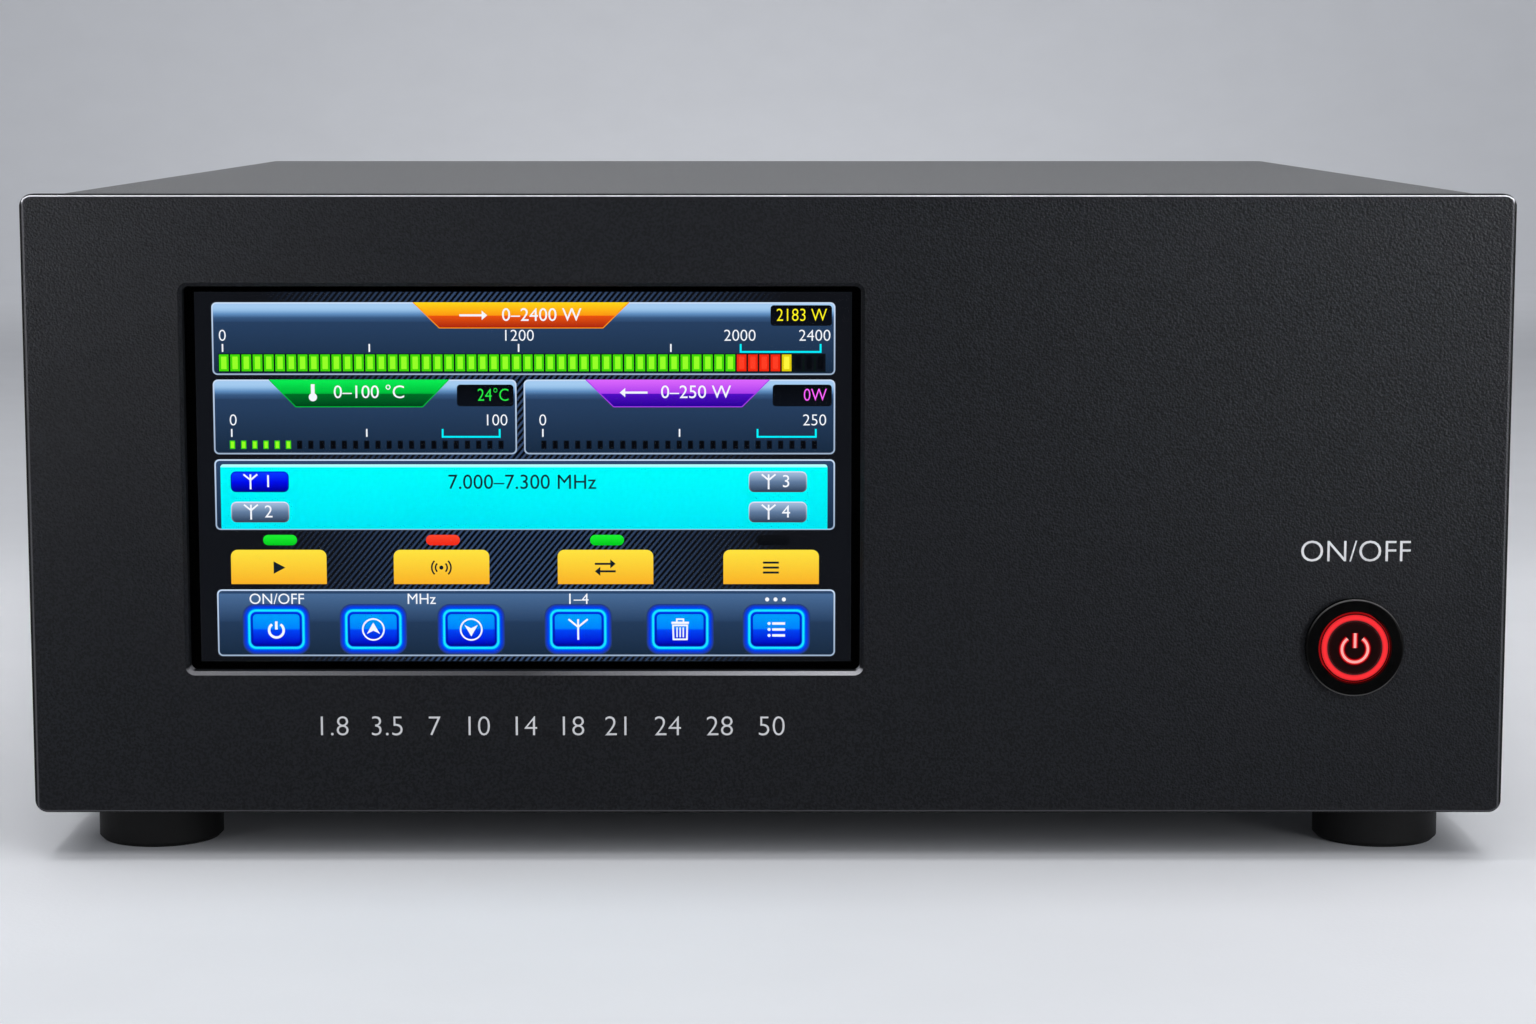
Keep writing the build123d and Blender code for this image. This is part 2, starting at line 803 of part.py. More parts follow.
with BuildPart() as fan_blade:
    for radius, chord, pitch in blade_stations:
        chord_line = (0, cos(radians(pitch)), sin(radians(pitch)))
        station = Plane((radius, 0, blade_mid), x_dir=chord_line, z_dir=(1, 0, 0))
        with BuildSketch(station):
            with BuildLine():
                ThreePointArc((-chord / 2, 0), (0, blade_camber + blade_thickness), (chord / 2, 0))
                ThreePointArc((chord / 2, 0), (0, blade_camber), (-chord / 2, 0))
            make_face()
    loft(ruled=True)

# Fan rotor: a cup on a shaft, with the blades round it
with BuildPart() as fan_rotor:
    with BuildSketch(Plane.XY.offset(hub_back)):
        Circle(hub_d / 2)
    extrude(amount=hub_front - hub_back)
    fillet(fan_rotor.edges().group_by(Axis.Z)[-1], hub_wall)
    with PolarLocations(0, blade_count):
        add(fan_blade.part)
    with BuildSketch(Plane.XY.offset(hub_back)):
        Circle(hub_d / 2 - hub_wall)
    extrude(amount=hub_front - hub_back - hub_wall, mode=Mode.SUBTRACT)
    with BuildSketch(Plane.XY.offset(hub_front - hub_wall)):
        Circle(shaft_d / 2)
    extrude(amount=-shaft_length)

for side, x in fan_places.items():
    fan_seat = Plane((x, rear_inner_y, case_mid_z), x_dir=(1, 0, 0), z_dir=(0, -1, 0))
    with BuildPart() as placed_frame:
        with Locations(fan_seat):
            add(fan_frame.part)
    save(placed_frame, f"fan_frame_{side}")
    with BuildPart() as placed_rotor:
        with Locations(fan_seat):
            add(fan_rotor.part)
    save(placed_rotor, f"fan_rotor_{side}")

# Coaxial connectors: square flange and threaded barrel outside, boss through the rear panel
for name, (x, z) in connector_places.items():
    with BuildPart() as connector:
        with BuildSketch(facing_rear(x, rear_face_y, z)):
            RectangleRounded(connector_flange, connector_flange, connector_notch)
        extrude(amount=connector_flange_thickness)
        with BuildSketch(facing_rear(x, rear_face_y, z)):
            Circle(connector_barrel_d / 2)
        extrude(amount=connector_reach)
        chamfer(connector.edges().group_by(Axis.Y)[-1], connector_edge)
        with BuildSketch(facing_rear(x, rear_face_y, z)):
            Circle(connector_boss_d / 2)
        extrude(amount=-connector_boss)
        with BuildSketch(facing_rear(x, rear_face_y - connector_boss, z)):
            Circle(connector_bore_d / 2)
        extrude(amount=connector_boss + connector_reach, mode=Mode.SUBTRACT)
        with BuildSketch(facing_rear(x, rear_face_y + connector_reach, z)):
            Rectangle(connector_barrel_d, connector_notch)
            Rectangle(connector_notch, connector_barrel_d)
        extrude(amount=-connector_notch, mode=Mode.SUBTRACT)
    save(connector, name)

insulator_length = connector_reach - connector_notch - insulator_step + connector_boss
with BuildPart() as connector_insulators:
    with BuildSketch(upright(rear_face_y - connector_boss)):
        with Locations(*connector_places.values()):
            Circle(connector_bore_d / 2 - connector_play)
            Circle(contact_d / 2 + connector_play, mode=Mode.SUBTRACT)
    extrude(amount=-insulator_length)
save(connector_insulators, "connector_insulators")

contact_face_y = rear_face_y - connector_boss + insulator_length
contact_end_y = rear_inner_y - antenna_board_gap
with BuildPart() as connector_contacts:
    with BuildSketch(upright(contact_face_y)):
        with Locations(*connector_places.values()):
            Circle(contact_d / 2)
    extrude(amount=insulator_length)
    with BuildSketch(upright(rear_face_y - connector_boss)):
        with Locations(*connector_places.values()):
            Circle(contact_tail_d / 2)
    extrude(amount=rear_face_y - connector_boss - contact_end_y)
    with BuildSketch(upright(contact_face_y)):
        with Locations(*connector_places.values()):
            Circle(contact_bore_d / 2)
    extrude(amount=contact_bore_depth, mode=Mode.SUBTRACT)
save(connector_contacts, "connector_contacts")

# Nine-way control sockets: flange, keyed shell and hexagonal jack screws
with BuildPart() as control_sockets:
    with BuildSketch(upright(rear_face_y)):
        with Locations(*socket_places):
            RectangleRounded(socket_flange_width, socket_flange_height, opening_corner)
    extrude(amount=-socket_flange)
    with BuildSketch(upright(rear_face_y + socket_flange)):
        with Locations(*socket_places):
            Trapezoid(socket_shell_width, socket_shell_height, socket_shell_slant, rotation=180)
    extrude(amount=-socket_shell)
    fillet(control_sockets.edges().filter_by(Axis.Y).group_by(Axis.Y)[-1], opening_corner)
    with BuildSketch(upright(rear_face_y)):
        with Locations(*socket_places):
            RectangleRounded(socket_body_width, socket_body_height, socket_corner)
    extrude(amount=socket_body)
    with BuildSketch(upright(rear_face_y + socket_flange)):
        with Locations(*socket_places):
            with GridLocations(socket_screw_spacing, 0, 2, 1):
                RegularPolygon(socket_screw_d / 2, 6, major_radius=False)
    extrude(amount=-socket_screw)
    with BuildSketch(upright(rear_face_y)):
        with Locations(*socket_places):
            with GridLocations(socket_screw_spacing, 0, 2, 1):
                Circle(rear_screw_d / 2)
    extrude(amount=socket_screw_tail)
save(control_sockets, "control_sockets")

# Mains inlet: flanged body with a deep mouth, and three flat blades
inlet_floor_y = rear_face_y + inlet_flange - inlet_mouth_depth
pole_places = [(-pole_pitch / 2, -pole_rows / 2), (pole_pitch / 2, -pole_rows / 2), (0, pole_rows / 2)]

with BuildPart() as mains_inlet:
    with BuildSketch(facing_rear(inlet_x, rear_face_y, inlet_z)):
        RectangleRounded(inlet_flange_width, inlet_flange_height, inlet_corner)
    extrude(amount=inlet_flange)
    with BuildSketch(facing_rear(inlet_x, rear_face_y, inlet_z)):
        RectangleRounded(inlet_body_width, inlet_body_height, inlet_corner)
    extrude(amount=-inlet_body)
    with BuildSketch(facing_rear(inlet_x, inlet_floor_y, inlet_z)):
        RectangleRounded(inlet_mouth_width, inlet_mouth_height, inlet_corner)
    extrude(amount=inlet_mouth_depth, mode=Mode.SUBTRACT)
    chamfer(mains_inlet.faces().sort_by(Axis.Y)[-1].outer_wire().edges(), inlet_edge)
    with BuildSketch(facing_rear(inlet_x, inlet_floor_y, inlet_z)):
        with Locations(*pole_places):
            Rectangle(pole_width + 2 * connector_play, pole_plate + 2 * connector_play)
    extrude(amount=-inlet_body, mode=Mode.SUBTRACT)
save(mains_inlet, "mains_inlet")

with BuildPart() as mains_inlet_blades:
    with BuildSketch(facing_rear(inlet_x, inlet_floor_y + pole_length, inlet_z)):
        with Locations(*pole_places):
            Rectangle(pole_width, pole_plate)
    extrude(amount=rear_face_y - inlet_body - pole_tail - inlet_floor_y - pole_length)
save(mains_inlet_blades, "mains_inlet_blades")

# Ground terminal: a stud with a washer and a nut on each side of the rear panel
with BuildPart() as ground_terminal:
    with BuildSketch(facing_rear(ground_x, rear_inner_y - ground_stud_tail, ground_z)):
        Circle(ground_stud_d / 2)
    extrude(amount=ground_stud_tail + rear_thickness + ground_stud_length)
    with Locations(
        facing_rear(ground_x, rear_face_y, ground_z), facing_front(ground_x, rear_inner_y, ground_z)
    ):
        add(spacer(ground_washer_d, ground_washer, ground_stud_d + 2 * screw_play))
    with Locations(
        facing_rear(ground_x, rear_face_y + ground_washer, ground_z),
        facing_front(ground_x, rear_inner_y - ground_washer, ground_z),
    ):
        add(hex_nut(ground_nut_width, ground_nut_height, ground_stud_d + 2 * thread_play))
save(ground_terminal, "ground_terminal")

# Heatsink: an extruded comb, fins down, in the air path of the fans
spreader_width = tunnel_width - 2 * spreader_margin
busbar_stack = busbar_rise + 2 * busbar_width + busbar_spacing
sink_bottom_z = floor_z + rail_height
sink_top_z = roof_z - sink_headroom - busbar_stack - board_thickness - spreader_thickness
sink_fin_height = sink_top_z - sink_base - sink_bottom_z
sink_rear_y = rear_inner_y - fan_depth - sink_gap
sink_fin_pitch = (tunnel_width - sink_fin) / (sink_fin_count - 1)
rail_spacing = tunnel_width - 2 * rail_inset
rail_hollow = rail_width - 2 * rail_wall

with BuildPart() as heatsink:
    with BuildSketch(upright(sink_rear_y)):
        with Locations((tunnel_x, sink_top_z)):
            Rectangle(tunnel_width, sink_base, align=(Align.CENTER, Align.MAX))
        with Locations((tunnel_x, sink_bottom_z + sink_fin_height / 2)):
            with GridLocations(sink_fin_pitch, 0, sink_fin_count, 1):
                Rectangle(sink_fin, sink_fin_height)
    extrude(amount=sink_length)
save(heatsink, "heatsink")

with BuildPart() as heatsink_rails:
    with BuildSketch(upright(sink_rear_y)):
        with Locations((tunnel_x, floor_z)):
            with GridLocations(rail_spacing, 0, 2, 1):
                Rectangle(rail_width, rail_height, align=low_edge)
        with Locations((tunnel_x, floor_z + rail_height / 2)):
            with GridLocations(rail_spacing, 0, 2, 1):
                Rectangle(rail_hollow, rail_height - 2 * rail_wall, mode=Mode.SUBTRACT)
    extrude(amount=sink_length)
save(heatsink_rails, "heatsink_rails")

# Copper heat spreader with the amplifier board on it; the transistors seat on the copper
spreader_y = sink_rear_y - spreader_inset - spreader_length / 2
spreader_top_z = sink_top_z + spreader_thickness
pa_top_z = spreader_top_z + board_thickness
transistor_x = [tunnel_x - transistor_pitch / 2, tunnel_x + transistor_pitch / 2]

with BuildPart() as heat_spreader:
    with BuildSketch(Plane.XY.offset(sink_top_z)):
        with Locations((tunnel_x, spreader_y)):
            RectangleRounded(spreader_width, spreader_length, opening_corner)
    extrude(amount=spreader_thickness)
save(heat_spreader, "heat_spreader")

with BuildPart() as pa_board:
    with BuildSketch(Plane.XY.offset(spreader_top_z)):
        with Locations((tunnel_x, spreader_y)):
            Rectangle(spreader_width, spreader_length)
        with Locations(*[(x, spreader_y) for x in transistor_x]):
            Rectangle(transistor_width + 2 * fit_gap, transistor_length + 2 * fit_gap, mode=Mode.SUBTRACT)
    extrude(amount=board_thickness)
save(pa_board, "pa_board")

with BuildPart() as rf_transistors:
    with BuildSketch(Plane.XY.offset(spreader_top_z)):
        with Locations(*[(x, spreader_y) for x in transistor_x]):
            SlotOverall(transistor_length, transistor_width, rotation=90)
    extrude(amount=transistor_flange)
    with BuildSketch(Plane.XY.offset(spreader_top_z + transistor_flange)):
        with Locations(*[(x, spreader_y) for x in transistor_x]):
            Rectangle(transistor_width, transistor_lid_length)
    extrude(amount=transistor_lid)
save(rf_transistors, "rf_transistors")

with BuildPart() as rf_transformers:
    with BuildSketch(upright(spreader_y)):
        with Locations((tunnel_x, pa_top_z)):
            Rectangle(output_core_width, output_core_height, align=low_edge)
        with Locations((tunnel_x, pa_top_z + output_core_height / 2)):
            with GridLocations(output_core_pitch, 0, 2, 1):
                Circle(output_core_bore / 2, mode=Mode.SUBTRACT)
    extrude(amount=output_core_length / 2, both=True)
    with BuildSketch(upright(spreader_y)):
        with Locations((tunnel_x - transistor_pitch / 2 - input_core_offset, pa_top_z)):
            Rectangle(input_core_width, input_core_height, align=low_edge)
    extrude(amount=input_core_length / 2, both=True)
save(rf_transformers, "rf_transformers")

# Power supplies: two closed modules, one on the other, under a shelf
supply_x = inside_width / 2 - supply_margin - supply_width / 2
supply_front_y = front_y + supply_front
supply_rear_y = rear_inner_y - supply_rear_gap
supply_length = supply_rear_y - supply_front_y
supply_mid_y = (supply_front_y + supply_rear_y) / 2
filter_stack = shelf_play + sheet + filter_standoff + board_thickness + coil_d + coil_headroom
supply_height = (roof_z - floor_z - filter_stack) / 2
supply_levels = {"lower": floor_z, "upper": floor_z + supply_height}
lug_x = {"positive": supply_x - lug_offset, "negative": supply_x - lug_offset + lug_pitch}

for level, z in supply_levels.items():
    with BuildPart() as supply:
        with BuildSketch(upright(supply_front_y)):
            with Locations((supply_x, z)):
                Rectangle(supply_width, supply_height, align=low_edge)
        extrude(amount=-supply_length)
        fillet(supply.edges().filter_by(Axis.Y), supply_edge)
        with BuildSketch(upright(supply_front_y)):
            with Locations((supply_x, z + supply_height / 2)):
                with GridLocations(supply_fan_pitch, 0, 2, 1):
                    Circle(supply_fan_d / 2)
                    Circle(supply_fan_hub_d / 2, mode=Mode.SUBTRACT)
        extrude(amount=-supply_fan_depth, mode=Mode.SUBTRACT)
        with BuildSketch(upright(supply_rear_y)):
            with Locations(*[(x, z + supply_height / 2) for x in lug_x.values()]):
                Rectangle(lug_width, lug_plate)
        extrude(amount=-lug_length)
    save(supply, f"power_supply_{level}")

shelf_z = floor_z + 2 * supply_height + shelf_play
shelf_half = supply_width / 2 + shelf_play
shelf_top_z = shelf_z + sheet
shelf_length = supply_length - 2 * shelf_inset
with BuildPart() as supply_shelf:
    with BuildSketch(upright(supply_mid_y)):
        with BuildLine():
            Polyline(
                (supply_x - shelf_half - shelf_foot, floor_z),
                (supply_x - shelf_half, floor_z),
                (supply_x - shelf_half, shelf_z),
                (supply_x + shelf_half, shelf_z),
                (supply_x + shelf_half, floor_z),
                (supply_x + shelf_half + shelf_foot, floor_z),
            )
            offset(amount=sheet, side=Side.LEFT, kind=Kind.INTERSECTION)
        make_face()
    extrude(amount=shelf_length / 2, both=True)
save(supply_shelf, "supply_shelf")

# Busbars: flat copper from the supply lugs over to posts on the amplifier board
busbar_y = supply_rear_y + lug_length
busbar_low_z = pa_top_z + busbar_rise
busbar_levels = {"positive": busbar_low_z, "negative": busbar_low_z + busbar_width + busbar_spacing}
post_right_x = tunnel_x + spreader_width / 2 - post_inset
busbar_post_x = {"positive": post_right_x, "negative": post_right_x - post_pitch}
busbar_foot_z = floor_z + supply_height / 2 - lug_plate / 2

with BuildPart() as dc_busbars:
    for pole, level in busbar_levels.items():
        left = busbar_post_x[pole] - post_d / 2
        with BuildSketch(upright(busbar_y)):
            with Locations((lug_x[pole], busbar_foot_z)):
                Rectangle(busbar_width, level + busbar_width - busbar_foot_z, align=low_edge)
            with Locations((left, level)):
                Rectangle(lug_x[pole] - left, busbar_width, align=(Align.MIN, Align.MIN))
        extrude(amount=-busbar_plate)
        with BuildSketch(Plane.XY.offset(pa_top_z)):
            with Locations((busbar_post_x[pole], busbar_y + busbar_plate / 2)):
                Circle(post_d / 2)
        extrude(amount=level - pa_top_z)
save(dc_busbars, "dc_busbars")

# Low-pass filter board on the shelf, with its coils and band relays
filter_z = shelf_top_z + filter_standoff
filter_top_z = filter_z + board_thickness
filter_length = shelf_length - 2 * filter_inset
filter_hole_x = filter_width - 2 * filter_inset
coil_count = int(filter_length / coil_pitch)
filter_hole_y = filter_length - 2 * filter_inset

with BuildPart() as filter_board:
    with BuildSketch(Plane.XY.offset(filter_z)):
        with Locations((supply_x, supply_mid_y)):
            RectangleRounded(filter_width, filter_length, opening_corner)
            with GridLocations(filter_hole_x, filter_hole_y, 2, 2):
                Circle(display_screw_d / 2, mode=Mode.SUBTRACT)
    extrude(amount=board_thickness)
save(filter_board, "filter_board")

with BuildPart() as filter_coils:
    with BuildSketch(Plane.YZ.offset(supply_x)):
        with Locations((supply_mid_y, filter_top_z + coil_d / 2)):
            with GridLocations(coil_pitch, 0, coil_count, 1):
                Circle(coil_d / 2)
                Circle(coil_bore_d / 2, mode=Mode.SUBTRACT)
    extrude(amount=coil_width / 2, both=True)
save(filter_coils, "filter_coils")

# Antenna board: a strip behind the antenna connectors, with one relay for each
antenna_mid_x = (antenna_x[0] + antenna_x[-1]) / 2
antenna_board_y = rear_inner_y - antenna_board_gap
antenna_standoff_x = [(antenna_x[0] + antenna_x[1]) / 2, (antenna_x[2] + antenna_x[3]) / 2]
relay_front_y = antenna_board_y - board_thickness

with BuildPart() as antenna_board:
    with BuildSketch(upright(antenna_board_y)):
        with Locations((antenna_mid_x, antenna_z)):
            Rectangle(antenna_x[-1] - antenna_x[0] + connector_flange, antenna_board_height)
        with Locations(*[(x, antenna_z) for x in antenna_standoff_x]):
            Circle(display_screw_d / 2, mode=Mode.SUBTRACT)
    extrude(amount=board_thickness)
save(antenna_board, "antenna_board")

with BuildPart() as relays:
    with BuildSketch(Plane.XY.offset(filter_top_z)):
        with Locations((supply_x, supply_mid_y)):
            with GridLocations(2 * relay_offset, coil_pitch, 2, coil_count):
                Rectangle(relay_width, relay_length)
    extrude(amount=relay_height)
    with BuildSketch(upright(relay_front_y)):
        with Locations(*[(x, antenna_z) for x in antenna_x]):
            Rectangle(relay_width, relay_length)
    extrude(amount=relay_height)
save(relays, "relays")

# Control board, upright behind the bulkhead above the button
control_left_x = screen_x + window_width / 2 + control_gap
control_right_x = panel_width / 2 - control_margin
control_low_z = button_z + control_clearance
control_high_z = case_top - control_headroom
control_width = control_right_x - control_left_x
control_height = control_high_z - control_low_z
control_chips = max(1, int(control_width / chip_pitch))
control_x = (control_left_x + control_right_x) / 2
control_z = (control_low_z + control_high_z) / 2
control_y = bulkhead_back_y + control_standoff
control_hole_x = control_width - 2 * filter_inset
control_hole_z = control_height - 2 * filter_inset

with BuildPart() as control_board:
    with BuildSketch(upright(control_y)):
        with Locations((control_x, control_z)):
            RectangleRounded(control_width, control_height, opening_corner)
            with GridLocations(control_hole_x, control_hole_z, 2, 2):
                Circle(display_screw_d / 2, mode=Mode.SUBTRACT)
    extrude(amount=-board_thickness)
    with BuildSketch(upright(control_y + board_thickness)):
        with Locations((control_x, control_z)):
            with GridLocations(chip_pitch, 0, control_chips, 1):
                Rectangle(chip_size, chip_size)
    extrude(amount=-chip_height)
save(control_board, "control_board")

# Spacers under every board
with BuildPart() as board_standoffs:
    with Locations(facing_rear(screen_x, bracket_back_y, screen_z)):
        with GridLocations(2 * spacer_x, 2 * spacer_z, 2, 2):
            add(spacer(board_spacer_d, board_spacer, display_screw_d))
    with Locations((supply_x, supply_mid_y, shelf_top_z)):
        with GridLocations(filter_hole_x, filter_hole_y, 2, 2):
            add(spacer(standoff_d, filter_standoff, display_screw_d))
    with Locations(*[facing_front(x, rear_inner_y, antenna_z) for x in antenna_standoff_x]):
        add(spacer(standoff_d, antenna_board_gap, display_screw_d))
    with Locations(facing_rear(control_x, bulkhead_back_y, control_z)):
        with GridLocations(control_hole_x, control_hole_z, 2, 2):
            add(spacer(standoff_d, control_standoff, display_screw_d))
save(board_standoffs, "board_standoffs")
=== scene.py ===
import json
from math import cos, hypot, pi, radians, sin

import bmesh
import bpy
from mathutils import Matrix, Vector


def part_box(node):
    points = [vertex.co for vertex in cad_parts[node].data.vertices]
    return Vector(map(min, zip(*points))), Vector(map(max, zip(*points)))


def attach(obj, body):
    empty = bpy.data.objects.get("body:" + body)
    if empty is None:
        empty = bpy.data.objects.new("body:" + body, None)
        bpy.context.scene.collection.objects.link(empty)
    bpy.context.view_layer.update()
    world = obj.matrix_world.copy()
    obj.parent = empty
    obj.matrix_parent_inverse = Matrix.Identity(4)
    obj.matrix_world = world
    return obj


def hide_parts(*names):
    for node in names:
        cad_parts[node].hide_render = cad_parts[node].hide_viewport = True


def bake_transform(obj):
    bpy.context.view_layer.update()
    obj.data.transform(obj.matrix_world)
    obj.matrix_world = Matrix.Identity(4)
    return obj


# A radio-frequency linear amplifier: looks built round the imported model, in metres.
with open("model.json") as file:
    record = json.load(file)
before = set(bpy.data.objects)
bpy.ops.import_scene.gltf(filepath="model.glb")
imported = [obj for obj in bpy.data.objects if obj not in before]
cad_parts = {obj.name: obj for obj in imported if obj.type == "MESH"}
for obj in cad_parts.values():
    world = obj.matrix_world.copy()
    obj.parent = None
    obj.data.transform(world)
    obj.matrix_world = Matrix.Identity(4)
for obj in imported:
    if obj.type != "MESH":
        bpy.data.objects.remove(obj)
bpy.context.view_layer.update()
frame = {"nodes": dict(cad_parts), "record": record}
nodes = frame["nodes"]
scene = bpy.context.scene

MM = 0.001

# Camera, from the photograph's perspective
camera_distance = 798.7 * MM
camera_rise = 25.1 * MM
camera_pitch = 7.16
camera_lens = 79.45
camera_sensor = 36.0

# Studio
floor_radius = 2.3
floor_segments = 96
floor_crease = 60.0
floor_tone = (226, 228, 233)
sweep_radius = 0.9
sweep_steps = 12
wall_height = 2.2
world_tint = (0.95, 0.97, 1.0, 1.0)
world_strength = 0.22
lamps = {
    "overhead": dict(at=(0.0, -0.25, 1.7), to=(0.0, -0.25, 0.0), size=(2.8, 1.1), power=18.0),
    "front_key": dict(at=(0.2, -1.55, 1.75), to=(0.0, -0.4, 0.0), size=(1.5, 0.7), power=13.5),
    "left_fill": dict(
        at=(-1.2, -1.35, 0.6), to=(-0.1, -0.2, 0.05), size=(0.5, 0.9), power=0.42, spread=60.0
    ),
    "right_fill": dict(
        at=(1.1, -1.4, 0.6), to=(0.1, -0.2, 0.05), size=(0.5, 0.9), power=1.15, spread=60.0
    ),
    "left_beam": dict(
        at=(-0.85, -1.45, 0.09), to=(-0.2, -0.2, 0.21), size=(0.15, 0.1), power=0.115, spread=15.0
    ),
    "right_beam": dict(
        at=(0.95, -1.45, 0.09), to=(0.17, -0.2, 0.21), size=(0.2, 0.1), power=0.19, spread=16.0
    ),
    "left_pool": dict(
        at=(-0.36, -0.02, 1.5), to=(-0.36, -0.02, 0.0), size=(0.25, 0.5), power=0.15, spread=18.0
    ),
    "right_pool": dict(
        at=(0.36, -0.02, 1.5), to=(0.36, -0.02, 0.0), size=(0.25, 0.5), power=0.13, spread=18.0
    ),
    "backdrop": dict(at=(0.0, 1.9, 0.7), to=(0.0, 2.7, 0.1), size=(0.5, 0.3), power=4.2),
}

# Painted highlights and painted shade on the front panel's rim, and a painted highlight on the display
# opening's lower bevel: tones, and the turns of the surface where each line rises and falls
rim_width = 1.2 * MM
rim_top_tone = (204, 204, 210)
rim_top_turn = 0.25
rim_end_tone = (68, 68, 71)
light_turns = (0.08, 0.2, 0.5, 0.62)
dark_turns = (0.5, 0.66, 0.97, 0.995)
bevel_turns = (0.2, 0.45, 0.85, 0.96)
bevel_tones = ((0.05, (112, 112, 115)), (0.5, (64, 64, 67)), (0.95, (172, 172, 176)))

# Painted highlight and painted shade lines along the panel's two ends, in shares of the rim's width from
# outside
end_light_shares = (0.52, 0.64, 0.84, 0.98)
end_dark_shares = (0.48, 0.58)

# Pinstripes behind the display's picture
stripe_slant = 50.0
stripe_pitch = 1.1 * MM
stripe_tones = ((0.35, (7, 9, 14)), (0.8, (52, 72, 104)))
stripe_fade = (15 * MM, 62 * MM)
faded_tone = (18, 20, 25)

# Light on the button from its axis outwards, in (millimetres, level) points: the lit ring's own light, and
# on the cap a painted glow spilt from the ring with a painted reflection of it near the cap's rim
cap_glow = ((0, 0.006), (5.5, 0.006), (7.9, 0.05), (8.15, 0.02), (8.3, 0.3), (8.45, 0.3))
ring_glow = ((0, 0.01), (6.5, 0.01), (6.7, 0.75), (7.2, 1.05), (7.75, 0.8), (8.0, 0.6))

# Places that follow from the frame
panel_low, panel_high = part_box("front_panel")
glass_low, glass_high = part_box("touch_glass")
cap_low, cap_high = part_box("power_button_cap")
cover_low, cover_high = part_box("top_cover")
socket_low, socket_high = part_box("control_sockets")
front_y = panel_low.y
rear_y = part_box("rear_panel")[1].y
post_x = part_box("corner_posts")[1].x
panel_mid = (panel_low + panel_high) / 2
screen_mid = (glass_low + glass_high) / 2
button_mid = (cap_low + cap_high) / 2
socket_mid = (socket_low + socket_high) / 2
fan_nodes = ("fan_frame_left", "fan_frame_right")
foot_nodes = ("foot_front_left", "foot_front_right", "foot_rear_left", "foot_rear_right")
coax_nodes = [f"antenna_connector_{i}" for i in (1, 2, 3, 4)] + ["rf_input_connector"]
BACKWARD = (0, 1, 0)


def middle(node):
    """Centre of a CAD node's box."""
    low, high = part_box(node)
    return (low + high) / 2


def rgb(red, green, blue):
    """Linear colour of a display colour with channels from 0 to 255, by the sRGB curve."""
    return tuple(
        c / 255 / 12.92 if c <= 10 else ((c / 255 + 0.055) / 1.055) ** 2.4
        for c in (red, green, blue)
    )


# Materials

OFF, ON = (0, 0, 0), (255, 255, 255)
PURE_BLACK = (0, 0, 0, 1)
BRUSHED = (1, 0.04, 1)
LIT_ONLY = dict(Base_Color=PURE_BLACK, Roughness=0.5, Emission_Strength=1.0, Specular_IOR_Level=0.0)


def add_node(mat, kind, inputs=None, **settings):
    """A shader node; an input that is a socket gets linked, any other is set."""
    made = mat.node_tree.nodes.new(kind)
    for key, value in settings.items():
        setattr(made, key, value)
    for key, value in (inputs or {}).items():
        if isinstance(value, bpy.types.NodeSocket):
            mat.node_tree.links.new(value, made.inputs[key])
        else:
            made.inputs[key].default_value = value
    return made


def new_material(name, **sockets):
    """A material with its shader's plain values set; underscores stand for spaces in socket names."""
    mat = bpy.data.materials.new(name)
    mat.use_nodes = True
    shader = mat.node_tree.nodes["Principled BSDF"]
    for key, value in sockets.items():
        shader.inputs[key.replace("_", " ")].default_value = value
    return mat, shader


def drive(mat, shader, **sockets):
    """Link values to the shader's sockets; underscores stand for spaces in socket names."""
    for key, value in sockets.items():
        mat.node_tree.links.new(value, shader.inputs[key.replace("_", " ")])


def object_coords(mat):
    """A point's place on its piece, in metres."""
    return add_node(mat, "ShaderNodeTexCoord").outputs["Object"]


def geometry(mat):
    """The way a surface faces and its place, among others."""
    return add_node(mat, "ShaderNodeNewGeometry").outputs


def axes(mat, vector):
    """The X, Y and Z of a vector."""
    return add_node(mat, "ShaderNodeSeparateXYZ", {"Vector": vector}).outputs


def calc(mat, operation, *values):
    """Result of an operation on shader values."""
    return add_node(mat, "ShaderNodeMath", dict(enumerate(values)), operation=operation).outputs[0]


def vector_calc(mat, operation, *values):
    """Result of an operation on shader vectors."""
    made = add_node(mat, "ShaderNodeVectorMath", dict(enumerate(values)), operation=operation)
    return made.outputs["Value" if operation == "LENGTH" else "Vector"]


def noise(mat, vector, size, detail=2.0):
    """Noise with grains of that size in metres."""
    inputs = {"Vector": vector, "Scale": 1 / size, "Detail": detail}
    return add_node(mat, "ShaderNodeTexNoise", inputs).outputs["Fac"]


def ranged(mat, value, start=0.0, end=1.0, low=0.0, high=1.0):
    """A value's way from start to end, laid over low to high."""
    inputs = {"Value": value, "From Min": start, "From Max": end, "To Min": low, "To Max": high}
    return add_node(mat, "ShaderNodeMapRange", inputs).outputs["Result"]


def bump(mat, height, depth, strength=1.0, under=None, **settings):
    """Normal of a surface raised by a value, over another normal where that is given."""
    inputs = {"Height": height, "Strength": strength, "Distance": depth}
    if under is not None:
        inputs["Normal"] = under
    return add_node(mat, "ShaderNodeBump", inputs, **settings).outputs["Normal"]


def mix(mat, share, first, second):
    """A blend of two colours."""
    inputs = {"Fac": share, "Color1": first, "Color2": second}
    return add_node(mat, "ShaderNodeMixRGB", inputs).outputs["Color"]


def ramp(mat, value, stops):
    """A ramp through (place, linear colour) stops."""
    made = add_node(mat, "ShaderNodeValToRGB", {"Fac": value})
    elements = made.color_ramp.elements
    while len(elements) < len(stops):
        elements.new(1.0)
    for element, (place, colour) in zip(elements, stops):
        element.position = place
        element.color = (*colour, 1)
    return made.outputs["Color"]


def graded(mat, value, stops):
    """A ramp through (place, display colour) stops."""
    return ramp(mat, value, [(place, rgb(*colour)) for place, colour in stops])


